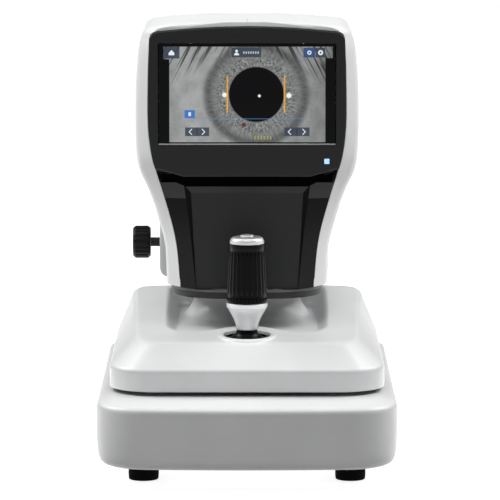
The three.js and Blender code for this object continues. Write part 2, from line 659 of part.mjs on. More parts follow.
function buildScreen() {
  const { zBottom, yFront, thickness, lean } = BEZEL;
  const tilt = new THREE.Matrix4().makeShear(0, 0, 0, 0, 0, lean);
  const leaned = (made) => {
    const geometry = geometryOf(made).translate(0, 0, -330).applyMatrix4(tilt);
    return solid(geometry.translate(0, 0, 330));
  };
  const lowerEdge = new THREE.Shape([
    new THREE.Vector2(-110, 273.5), new THREE.Vector2(-80, 272.3),
    new THREE.Vector2(-58, zBottom), new THREE.Vector2(58, zBottom),
    new THREE.Vector2(80, 272.3), new THREE.Vector2(110, 273.5),
    new THREE.Vector2(110, 420), new THREE.Vector2(-110, 420),
  ]);
  const yBack = yFront + thickness;
  const front = frontPrism(frontOutline(-0.2, 240), yFront, yBack).intersect(
    frontPrism(lowerEdge, yFront - 1, yBack + 1),
  );
  const { halfWidth } = SCREEN;
  const window = box(
    -halfWidth, halfWidth, yFront - 1, yBack + 1, SCREEN.zBottom, SCREEN.zTop,
  );
  const chin = box(-57, 57, yBack - 6, -70, zBottom + 0.5, zBottom + 3.5);
  const frame = leaned(front.subtract(window));
  part("screen_bezel", frame.add(chin), BLACK);

  const plate = (grow, y0, y1) =>
    leaned(
      box(-halfWidth - grow, halfWidth + grow, y0, y1, SCREEN.zBottom - grow, SCREEN.zTop + grow),
    );
  part("touch_glass", plate(-GAP, yFront + 6, yFront + 7.6), GLASS);
  part("lcd_module", plate(-1, yBack + GAP, yBack + 6), BLACK);

  const light = box(70.3, 74.9, yFront - 0.4, yFront + 1.2, 277.4, 282);
  const seat = box(70, 75.2, yFront - 2, yFront + 1.6, 277.1, 282.3);
  const last = object.children.find((mesh) => mesh.name === "screen_bezel");
  last.geometry = geometryOf(solid(last.geometry).subtract(leaned(seat)));
  part("status_light", leaned(light), BLUE_LIGHT);
}

function buildOptics() {
  const { yBack, yFront, rBack, rFront, bore } = NOSE;
  const nose = latheY(
    [
      [bore, yBack], [rBack, yBack], [rBack, yBack + 10], [rFront + 1.5, yFront - 2],
      [rFront - 1, yFront], [bore + 3, yFront - 0.6], [bore + 1.6, yFront - 6],
      [bore, yFront - 6], [bore, yBack],
    ],
    [0, AXIS_Z], 32,
  );
  part("objective_housing", nose, BLACK);
  const ringFront = yFront - 6.3;
  part(
    "mire_ring",
    latheY(
      [[19.6, ringFront - 4], [bore - GAP, ringFront - 4], [bore - GAP, ringFront],
        [19.6, ringFront], [19.6, ringFront - 4]],
      [0, AXIS_Z], 28,
    ),
    RING_LIGHT,
  );
  part(
    "objective_lens",
    latheY(
      [[0, ringFront - 6], [19.2, ringFront - 4], [19.2, ringFront - 2.4],
        [12, ringFront - 0.9], [0, ringFront - 0.4]],
      [0, AXIS_Z], 24,
    ),
    LENS,
  );

  const { halfWidth, zBottom, zTop, cornerRadius } = REAR_WINDOW;
  const cover = frontPrism(
    roundedRect(
      -halfWidth + GAP, halfWidth - GAP, zBottom + GAP, zTop - GAP, cornerRadius,
    ), 117.5, 121,
  ).subtract(rod("y", [0, 100, AXIS_Z], 60, 30, 30, 32));
  part("rear_cover", cover, BLACK);

  const deck = prism(roundedRect(-68, 68, -40, 98, 10), 203, 207);
  part("optics_plate", deck, ALUMINIUM);
  const block = box(-20, 20, 36, 96, 207.3, 300).add(rod("y", [0, 22, AXIS_Z], 95, 24, 24, 28));
  part("lens_barrel", block.subtract(rod("y", [0, 21, AXIS_Z], 97, 18, 18, 28)), DARK_GREY);
  part("camera_module", box(-16, 16, -14, 21.6, AXIS_Z - 16, AXIS_Z + 16), DARK_GREY);

  const y = LIFT.y;
  const slide = box(-13, 13, y - 12, y + 12, 150, 170)
    .add(box(-13, 13, y - 36, y - 8, 150, 202.7))
    .subtract(rod("z", [0, y, 140], 80, LIFT.screwRadius + 0.5, LIFT.screwRadius + 0.5, 20));
  part("lift_slide", slide, BRASS);
}

// ---------------------------------------------------------------- headrest
function buildHeadrest() {
  const { y0, y1, split, columnHalfWidth, zCross, zTop, xLeft, xRight, cornerRadius } = HEADREST;
  const low = BASE.zTop + GAP;
  const outline = (inset) => {
    const column = columnHalfWidth - inset;
    const shape = new THREE.Shape();
    const bottom = inset ? low - 1 : low;
    shape.moveTo(-column, bottom);
    shape.lineTo(column, bottom);
    shape.lineTo(column, zCross - 8 + inset);
    shape.quadraticCurveTo(column, zCross + inset, column + 8, zCross + inset);
    shape.lineTo(xRight - inset - cornerRadius, zCross + inset);
    shape.quadraticCurveTo(
      xRight - inset, zCross + inset, xRight - inset, zCross + inset + cornerRadius,
    );
    shape.lineTo(xRight - inset, zTop - inset);
    shape.lineTo(xLeft + inset, zTop - inset);
    shape.lineTo(xLeft + inset, zCross + inset + cornerRadius);
    shape.quadraticCurveTo(
      xLeft + inset, zCross + inset, xLeft + inset + cornerRadius, zCross + inset,
    );
    shape.lineTo(-column - 8, zCross + inset);
    shape.quadraticCurveTo(-column, zCross + inset, -column, zCross - 8 + inset);
    return shape;
  };
  const bore = rod("x", [xLeft - 5, PINION.y, PINION.z], 40, 4.9, 4.9, 20);
  const slot = box(-8.5, 8.5, 169.4, y1 + 5, 157, zTop + 5);
  const socket = (x) => rod("z", [x, split, 185], 30, ARCH.tube + GAP);
  const sockets = socket(-ARCH.xSocket).add(socket(ARCH.xSocket));
  const solidForm = frontPrism(outline(0), y0, y1, 5);
  const hollow = frontPrism(outline(WALL), y0 + WALL, y1 - WALL, 5);
  const shell = solidForm.subtract(hollow).subtract(bore).subtract(slot).subtract(sockets);
  const front = shell.intersect(box(-200, 200, y0 - 5, split - GAP / 2, 0, 400));
  const rear = shell.intersect(box(-200, 200, split + GAP / 2, y1 + 5, 0, 400));
  part("headrest_front", front, WHITE);
  part("headrest_rear", rear, WHITE);

  buildArch();
  buildChinRest();
}

function buildArch() {
  const { x, xSocket, tube, zSocket, zTop, cornerRadius } = ARCH;
  const y = HEADREST.split;
  for (const [side, sign] of [["left", -1], ["right", 1]]) {
    const lower = new THREE.CatmullRomCurve3([
      new THREE.Vector3(sign * xSocket, y, zSocket), new THREE.Vector3(sign * xSocket, y, 206),
      new THREE.Vector3(sign * (x - 15), y, 232), new THREE.Vector3(sign * (x - 5), y, 250),
      new THREE.Vector3(sign * x, y, 275), new THREE.Vector3(sign * x, y, 305),
      new THREE.Vector3(sign * x, y, zTop - cornerRadius),
    ]);
    const points = lower.getPoints(16);
    for (let i = 1; i <= 6; i++) {
      const angle = (Math.PI / 2) * (i / 6);
      points.push(
        new THREE.Vector3(
          sign * (x - cornerRadius * (1 - Math.cos(angle))), y,
          zTop - cornerRadius * (1 - Math.sin(angle)),
        ),
      );
    }
    const path = new THREE.CatmullRomCurve3(points);
    const section = new THREE.Shape();
    section.absarc(0, 0, tube, 0, 2 * Math.PI, false);
    const settings = { steps: 26, bevelEnabled: false, extrudePath: path, curveSegments: 5 };
    part(`headrest_arch_${side}`, solid(new THREE.ExtrudeGeometry(section, settings)), WHITE);
  }
  const barEnd = x - cornerRadius - 1;
  const band = (y0, y1, z0, z1, half) => {
    const shape = new THREE.Shape();
    shape.moveTo(-half, y0);
    shape.quadraticCurveTo(0, y0 - 12, half, y0);
    shape.lineTo(half, y1);
    shape.quadraticCurveTo(0, y1 - 12, -half, y1);
    return prism(shape, z0, z1, 10);
  };
  part("forehead_bar", band(y - 5, y + 3, zTop - 10, zTop + 10, barEnd), WHITE);
  part("forehead_pad", band(y + 3 + GAP, y + 6.5, zTop - 9, zTop + 9, barEnd - 6), SILICONE);
}

function buildChinRest() {
  const { postY0, postY1, zPost, zTop, module, pinionTeeth } = CHIN;
  const pitch = Math.PI * module;
  const pitchRadius = (module * pinionTeeth) / 2;
  // A trapezoid tooth standing out along -Y from the pitch line at y, at height z.
  const tooth = (y, z) => {
    const shape = new THREE.Shape([
      new THREE.Vector2(y + 1.4, z - 0.95), new THREE.Vector2(y + 1.4, z + 0.95),
      new THREE.Vector2(y - 0.6, z + 0.3), new THREE.Vector2(y - 0.6, z - 0.3),
    ]);
    return sidePrism(shape, -5, 5);
  };
  const pitchLine = PINION.y + pitchRadius;
  let post = box(-6, 6, postY0, postY1, zPost, zTop);
  for (let n = -11; n <= 8; n++) post = post.add(tooth(pitchLine, PINION.z + (n + 0.5) * pitch));
  post = post.add(box(-6.5, 6.5, postY0, 194, zTop - 12, zTop));
  part("chin_post", post, ALUMINIUM);

  const cupOuter = (grow, z) =>
    ring({ halfWidth: 36 + grow, yFront: 188.6 - grow, yRear: 235 + grow, radius: 20, height: z });
  const bowl = new THREE.SphereGeometry(1, 24, 14).scale(33, 22, 10).translate(0, 212, zTop + 16);
  const cup = loft([
    cupOuter(-8, zTop + GAP), cupOuter(-2, zTop + 3), cupOuter(0, zTop + 8), cupOuter(0, zTop + 14),
  ]).subtract(solid(bowl));
  part("chin_cup", cup, WHITE);

  // Pinion with teeth on the rack's pitch, and its shaft out to the knob.
  const gear = new THREE.Shape();
  const root = pitchRadius - 1.3;
  const tip = pitchRadius + 0.5;
  for (let n = 0; n < pinionTeeth; n++) {
    const centre = (2 * Math.PI * n) / pinionTeeth;
    for (const [radius, half] of [[root, 0.95], [tip, 0.3]]) {
      const angle = centre - half / radius;
      const to = [radius * Math.cos(angle), radius * Math.sin(angle)];
      if (n === 0 && radius === root) gear.moveTo(...to);
      else gear.lineTo(...to);
    }
    for (const [radius, half] of [[tip, 0.3], [root, 0.95]]) {
      gear.lineTo(radius * Math.cos(centre + half / radius), radius * Math.sin(centre + half / radius));
    }
  }
  const shaftStart = KNOB.xOuter + KNOB.thickness + GAP;
  const turn = new THREE.Matrix4().set(
    0, 0, 1, -5, 1, 0, 0, PINION.y, 0, 1, 0, PINION.z, 0, 0, 0, 1,
  );
  const gearGeometry = new THREE.ExtrudeGeometry(gear, { depth: 10, bevelEnabled: false });
  const pinion = solid(gearGeometry.applyMatrix4(turn))
    .add(rod("x", [shaftStart, PINION.y, PINION.z], 14 - shaftStart, 4.5, 4.5, 20));
  part("chin_pinion", pinion, STEEL);

  const { xOuter, thickness, radius, flutes } = KNOB;
  const knobRing = (x, r, depth) => {
    const points = [];
    const sides = flutes * 4;
    for (let i = 0; i < sides; i++) {
      const angle = (2 * Math.PI * i) / sides;
      const reach = r - (i % 4 === 0 ? depth : 0);
      points.push([x, PINION.y + reach * Math.cos(angle), PINION.z + reach * Math.sin(angle)]);
    }
    return points;
  };
  const knob = loft([
    knobRing(xOuter, radius - 2.2, 0), knobRing(xOuter + 1.8, radius, 0.9),
    knobRing(xOuter + thickness - 1.8, radius, 0.9),
    knobRing(xOuter + thickness, radius - 1.8, 0),
  ]);
  part("chin_knob", knob, GRIP_BLACK);
}

// ---------------------------------------------------------------- printer and power inlet
function buildPrinter() {
  const { y0, y1, zBottom, zTop } = DOOR;
  const face = BASE.halfWidth;
  const door = box(face - WALL, face, y0, y1, zBottom + 2, zTop)
    .add(rod("y", [face - 1.6, y0, zBottom + 1.8], y1 - y0, 1.5, 1.5, 16));
  part("printer_door", door, WHITE);
  const low = PLATE.zBottom + PLATE.thickness + GAP;
  const { x, y, z, radius, width, core } = ROLL;
  const half = width / 2;
  const inside = half + 1.5;
  const outside = half + 5;
  const cradle = box(76, PLATEN.x - 2, y - outside, y + outside, low, 70)
    .add(box(PLATEN.x - 4, PLATEN.x + 4, y - outside, y + outside, PLATEN.z - 5, 66.5))
    .subtract(box(80, face, y - inside, y + inside, low + 2, 72))
    .subtract(
      rod("y", [PLATEN.x, y - 50, PLATEN.z], 100, PLATEN.pin + 0.2, PLATEN.pin + 0.2, 12),
    );
  part("printer_frame", cradle, BLACK);
  part("paper_roll", rod("y", [x, y - half, z], width, radius, radius, 36).subtract(
    rod("y", [x, y - half - 1, z], width + 2, core, core, 20)), PAPER);
  const pinLength = 2 * outside - 2;
  const platen = rod("y", [PLATEN.x, y - half, PLATEN.z], width, PLATEN.radius, PLATEN.radius, 16)
    .add(
      rod("y", [PLATEN.x, y - pinLength / 2, PLATEN.z], pinLength, PLATEN.pin, PLATEN.pin, 12),
    );
  part("platen_roller", platen, RUBBER);
}

function buildInlet() {
  const { y0, y1, z0, z1, depth } = INLET;
  const face = -BASE.halfWidth + INLET.sunk;
  const socket = roundedRect(y1 - 30, y1 - 4, z0 + 4.5, z1 - 4.5, 2);
  const rockerSeat = box(face - 1, face + 12, y0 + 4, y0 + 20, z0 + 2.5, z1 - 2.5);
  let module = box(face, face + depth, y0, y1, z0, z1)
    .subtract(sidePrism(socket, face - 1, face + 16))
    .subtract(rockerSeat);
  const middle = y1 - 17;
  for (const [dy, dz] of [[-7, -1.5], [0, 2.5], [7, -1.5]]) {
    const z = (z0 + z1) / 2 + dz;
    module = module.add(box(face + 9, face + 17, middle + dy - 1, middle + dy + 1, z - 2, z + 2));
  }
  part("inlet_module", module, BLACK);
  const zMiddle = (z0 + z1) / 2;
  const rocker = new THREE.Shape([
    new THREE.Vector2(face + 5, zMiddle - 9.4), new THREE.Vector2(face + 5, zMiddle + 9.4),
    new THREE.Vector2(face + 0.5, zMiddle + 9.6), new THREE.Vector2(face + 1.4, zMiddle),
    new THREE.Vector2(face - 1.4, zMiddle - 9.2),
  ]);
  const shapeInXZ = frontPrism(rocker, y0 + 4.6, y0 + 19.4);
  part("power_rocker", shapeInXZ, BLACK);
}

buildBase();
buildStage();
buildCarriage();
buildStick();
buildHead();
buildHeadrest();
buildPrinter();
buildInlet();

export default object;
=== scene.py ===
"""Looks of a table-top autorefractor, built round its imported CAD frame.

Each sub-assembly is a class. Its fields are sizes in millimetres, and its methods build
and dress its pieces. Every mesh is written in metres, in the frame of the CAD model.
"""

import sys
import logging
import math
from collections.abc import Callable, Sequence
from dataclasses import dataclass, field
from enum import Enum

import bmesh
import bpy
from mathutils import Matrix, Vector


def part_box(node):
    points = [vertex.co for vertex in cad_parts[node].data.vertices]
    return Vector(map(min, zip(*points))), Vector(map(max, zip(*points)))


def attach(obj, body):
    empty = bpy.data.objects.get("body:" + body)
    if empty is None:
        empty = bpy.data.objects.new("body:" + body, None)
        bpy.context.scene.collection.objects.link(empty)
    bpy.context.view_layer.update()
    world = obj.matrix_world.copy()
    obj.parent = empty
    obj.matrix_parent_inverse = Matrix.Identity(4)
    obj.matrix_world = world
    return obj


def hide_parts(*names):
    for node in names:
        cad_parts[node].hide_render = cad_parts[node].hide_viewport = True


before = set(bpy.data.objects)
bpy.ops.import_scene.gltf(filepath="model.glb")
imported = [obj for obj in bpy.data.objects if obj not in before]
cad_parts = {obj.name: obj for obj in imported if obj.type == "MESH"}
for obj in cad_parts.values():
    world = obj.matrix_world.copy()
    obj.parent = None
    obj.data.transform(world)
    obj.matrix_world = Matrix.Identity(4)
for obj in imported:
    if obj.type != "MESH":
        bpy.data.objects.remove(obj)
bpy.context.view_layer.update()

LOG = logging.getLogger("autorefractor")
MM = 0.001
Point = tuple[float, float, float]
Ring = list[Point]
Outline = list[tuple[float, float]]
Colour = tuple[float, float, float]
SHARP_ANGLE = 32.0
BEVELLED_SHARP_ANGLE = 40.0
REPEATED_SHARP_ANGLE = 35.0
SOFTENED_EDGE_ANGLE = 34.0


class Axis(Enum):
    """The direction a turned or extruded piece runs in."""

    X = 0
    Y = 1
    Z = 2


class Cut(Enum):
    """What a boolean does with its cutter."""

    AWAY = "DIFFERENCE"
    KEEP = "INTERSECT"


# ------------------------------------------------------------------ node helpers


def add_node(
    tree: bpy.types.NodeTree, kind: str, settings: dict[str, object],
    inputs: dict[str | int, object],
) -> bpy.types.Node:
    """Adds a node to a tree.

    Args:
        tree: the tree.
        kind: the node's type.
        settings: the node's own properties, set first.
        inputs: its sockets' numbers, values, other sockets, or nodes that stand for
            their first output, by name or number.

    Returns:
        The new node.
    """
    made = tree.nodes.new(kind)
    for key, value in settings.items():
        setattr(made, key, value)
    for key, value in inputs.items():
        if isinstance(value, Value):
            value = value.socket
        elif isinstance(value, bpy.types.Node):
            value = value.outputs[0]
        if isinstance(value, bpy.types.NodeSocket):
            tree.links.new(value, made.inputs[key])
        else:
            made.inputs[key].default_value = value
    return made


class Value:
    """A shader socket that takes part in arithmetic, adding Math nodes as it goes."""

    def __init__(self, shader: "Shader", socket: bpy.types.NodeSocket) -> None:
        """Wraps an output socket that carries a number, in the material being built."""
        self.shader = shader
        self.socket = socket

    def _math(self, operation: str, *others: "Value | float", first: bool = True) -> "Value":
        """Adds one Math node.

        Args:
            operation: the node's operation.
            others: the other operands, numbers or values.
            first: whether this value is the first operand.

        Returns:
            The node's result.
        """
        operands = (self, *others) if first else (*others, self)
        made = self.shader.node("ShaderNodeMath", {"operation": operation}, dict(enumerate(operands)))
        return Value(self.shader, made.outputs[0])

    def __add__(self, other: "Value | float") -> "Value":
        """Sum."""
        return self._math("ADD", other)

    def __sub__(self, other: "Value | float") -> "Value":
        """Difference."""
        return self._math("SUBTRACT", other)

    def __rsub__(self, other: float) -> "Value":
        """Difference from a number."""
        return self._math("SUBTRACT", other, first=False)

    def __mul__(self, other: "Value | float") -> "Value":
        """Product."""
        return self._math("MULTIPLY", other)

    def __truediv__(self, other: "Value | float") -> "Value":
        """Quotient."""
        return self._math("DIVIDE", other)

    def __pow__(self, other: "Value | float") -> "Value":
        """Power."""
        return self._math("POWER", other)

    def size(self) -> "Value":
        """Absolute value."""
        return self._math("ABSOLUTE")

    def root(self) -> "Value":
        """Square root."""
        return self._math("SQRT")

    def sine(self) -> "Value":
        """Sine of an angle in radians."""
        return self._math("SINE")

    def angle(self, other: "Value") -> "Value":
        """Angle of the point (other, self) about the origin."""
        return self._math("ARCTAN2", other)

    def at_least(self, other: "Value | float") -> "Value":
        """The larger of two."""
        return self._math("MAXIMUM", other)

    def at_most(self, other: "Value | float") -> "Value":
        """The smaller of two."""
        return self._math("MINIMUM", other)

    def step(self, low: float, high: float) -> "Value":
        """A smooth step from 0 at low to 1 at high, which may be below low."""
        made = self.shader.node(
            "ShaderNodeMapRange",
            {"interpolation_type": "SMOOTHSTEP", "clamp": True},
            {"Value": self, "From Min": low, "From Max": high},
        )
        return Value(self.shader, made.outputs[0])


class Shader:
    """A node material under construction."""

    def __init__(self, name: str) -> None:
        """Starts an empty material.

        Args:
            name: the material's name.
        """
        self.material = bpy.data.materials.new(name)
        self.material.use_nodes = True
        self.tree = self.material.node_tree
        self.tree.nodes.clear()

    def node(
        self, kind: str, settings: dict[str, object], inputs: dict[str | int, object]
    ) -> bpy.types.Node:
        """Adds a node to the material."""
        return add_node(self.tree, kind, settings, inputs)

    def place(self, scale: Point = (1.0, 1.0, 1.0)) -> bpy.types.NodeSocket:
        """Object coordinates, stretched.

        Args:
            scale: how much each axis is stretched.

        Returns:
            The coordinates' socket.
        """
        source = self.node("ShaderNodeTexCoord", {}, {})
        mapped = self.node("ShaderNodeMapping", {}, {0: source.outputs["Object"], "Scale": scale})
        return mapped.outputs[0]

    def noise(
        self, size: float, detail: float = 3.0, scale: Point = (1.0, 1.0, 1.0)
    ) -> "Value":
        """Noise from 0 to 1, with grains of a size in millimetres and some finer layers."""
        made = self.node(
            "ShaderNodeTexNoise", {},
            {"Vector": self.place(scale), "Scale": 1 / (size * MM), "Detail": detail},
        )
        return Value(self, made.outputs[0])

    def xyz(self, centre: Point) -> tuple["Value", "Value", "Value"]:
        """Object coordinates in millimetres.

        Args:
            centre: the point counted from, in millimetres.

        Returns:
            The three distances from the centre.
        """
        source = self.node("ShaderNodeTexCoord", {}, {})
        split = self.node("ShaderNodeSeparateXYZ", {}, {0: source.outputs["Object"]})
        return tuple(Value(self, split.outputs[i]) / MM - centre[i] for i in range(3))

    def mix(self, factor: "Value", first: object, second: object) -> bpy.types.NodeSocket:
        """Blends two colours.

        Args:
            factor: 0 gives the first, 1 the second.
            first: a colour or a colour socket.
            second: a colour or a colour socket.

        Returns:
            The blended colour's socket.
        """
        full = [(*c, 1.0) if isinstance(c, tuple) else c for c in (first, second)]
        blend = {0: factor, 6: full[0], 7: full[1]}
        made = self.node("ShaderNodeMix", {"data_type": "RGBA"}, blend)
        return made.outputs[2]

    def bump(self, height: "Value", depth: float) -> bpy.types.NodeSocket:
        """The normal of a bump whose height, from 0 to 1, spans a depth in millimetres."""
        inputs = {"Height": height, "Distance": depth * MM, "Strength": 1.0}
        return self.node("ShaderNodeBump", {}, inputs).outputs[0]

    def finish(self, **inputs: object) -> bpy.types.Material:
        """Ends the material in a Principled shader.

        Args:
            inputs: socket values or links, with underscores for the spaces in names.

        Returns:
            The finished material.
        """
        named = {}
        for key, value in inputs.items():
            colour = isinstance(value, tuple) and len(value) == 3
            named[key.replace("_", " ")] = (*value, 1.0) if colour else value
        surface = self.node("ShaderNodeBsdfPrincipled", {}, named)
        output = self.node("ShaderNodeOutputMaterial", {}, {0: surface})
        output.is_active_output = True
        return self.material


# ------------------------------------------------------------------ finishes


@dataclass(frozen=True)
class MouldedPlastic:
    """Moulded plastic with a fine spark-eroded grain."""

    name: str
    colour: Colour
    roughness: float = 0.4
    grain: float = 0.35
    depth: float = 0.006
    coat: float = 0.0
    specular: float = 0.5

    def material(self) -> bpy.types.Material:
        """Builds the material."""
        shader = Shader(self.name)
        cloud = shader.noise(60.0, 2.0)
        grain = shader.noise(self.grain, 2.0)
        darker = tuple(c * 0.955 for c in self.colour)
        return shader.finish(
            Base_Color=shader.mix(cloud.step(0.35, 0.7), self.colour, darker),
            Roughness=cloud * 0.05 + grain * 0.06 + (self.roughness - 0.055),
            Normal=shader.bump(grain, self.depth),
            Coat_Weight=self.coat,
            Coat_Roughness=0.12,
            Specular_IOR_Level=self.specular,
        )


@dataclass(frozen=True)
class Metal:
    """Bare metal with fine tool marks along one axis."""

    name: str
    colour: Colour
    roughness: float = 0.3
    lines: Point = (1.0, 1.0, 12.0)
    depth: float = 0.004

    def material(self) -> bpy.types.Material:
        """Builds the material."""
        shader = Shader(self.name)
        lines = shader.noise(1.2, 3.0, self.lines)
        patch = shader.noise(18.0, 2.0)
        darker = tuple(c * 0.82 for c in self.colour)
        return shader.finish(
            Base_Color=shader.mix(lines.step(0.3, 0.75), self.colour, darker),
            Metallic=1.0,
            Roughness=lines * 0.12 + patch * 0.08 + (self.roughness - 0.1),
            Normal=shader.bump(lines, self.depth),
        )


@dataclass(frozen=True)
class SoftRubber:
    """Matt rubber or silicone with a faint bloom."""

    name: str
    colour: Colour
    roughness: float = 0.8
    depth: float = 0.02
    specular: float = 0.35

    def material(self) -> bpy.types.Material:
        """Builds the material."""
        shader = Shader(self.name)
        bloom = shader.noise(9.0, 4.0)
        grain = shader.noise(0.5, 2.0)
        paler = tuple(c * 1.35 for c in self.colour)
        return shader.finish(
            Base_Color=shader.mix(bloom.step(0.45, 0.8), self.colour, paler),
            Roughness=bloom * 0.1 + (self.roughness - 0.05),
            Normal=shader.bump(grain, self.depth),
            Specular_IOR_Level=self.specular,
        )


@dataclass(frozen=True)
class CoatedLens:
    """A dark lens with a coloured anti-reflection coating that changes from middle to rim."""

    name: str
    centre: Point
    radius: float

    def material(self) -> bpy.types.Material:
        """Builds the material."""
        shader = Shader(self.name)
        across, _, up = shader.xyz(self.centre)
        reach = (across * across + up * up).root() / self.radius
        tint = shader.mix(reach.step(0.2, 1.0), (0.012, 0.02, 0.05), (0.05, 0.012, 0.05))
        smear = shader.noise(6.0, 3.0)
        return shader.finish(
            Base_Color=tint,
            Roughness=smear * 0.03 + 0.02,
            Coat_Weight=1.0,
            Coat_Roughness=0.02,
            IOR=1.6,
        )


@dataclass(frozen=True)
class Glowing:
    """A lit diffuser, brighter in the middle of its grain."""

    name: str
    colour: Colour
    strength: float

    def material(self) -> bpy.types.Material:
        """Builds the material."""
        shader = Shader(self.name)
        frost = shader.noise(0.8, 2.0)
        dimmer = tuple(c * 0.8 for c in self.colour)
        return shader.finish(
            Base_Color=(0.6, 0.62, 0.64),
            Roughness=frost * 0.2 + 0.25,
            Emission_Color=shader.mix(frost.step(0.35, 0.65), self.colour, dimmer),
            Emission_Strength=self.strength,
        )


@dataclass(frozen=True)
class ThermalPaper:
    """A roll of paper, with the edges of its turns showing on its ends."""

    name: str
    centre: Point
    turn: float = 0.6

    def material(self) -> bpy.types.Material:
        """Builds the material."""
        shader = Shader(self.name)
        across, _, up = shader.xyz(self.centre)
        turns = ((across * across + up * up).root() * (2 * math.pi / self.turn)).sine()
        fibre = shader.noise(0.6, 4.0)
        return shader.finish(
            Base_Color=shader.mix(turns.step(-1.0, 1.0), (0.82, 0.82, 0.79), (0.7, 0.7, 0.66)),
            Roughness=fibre * 0.1 + 0.75,
            Normal=shader.bump(fibre, 0.02),
        )


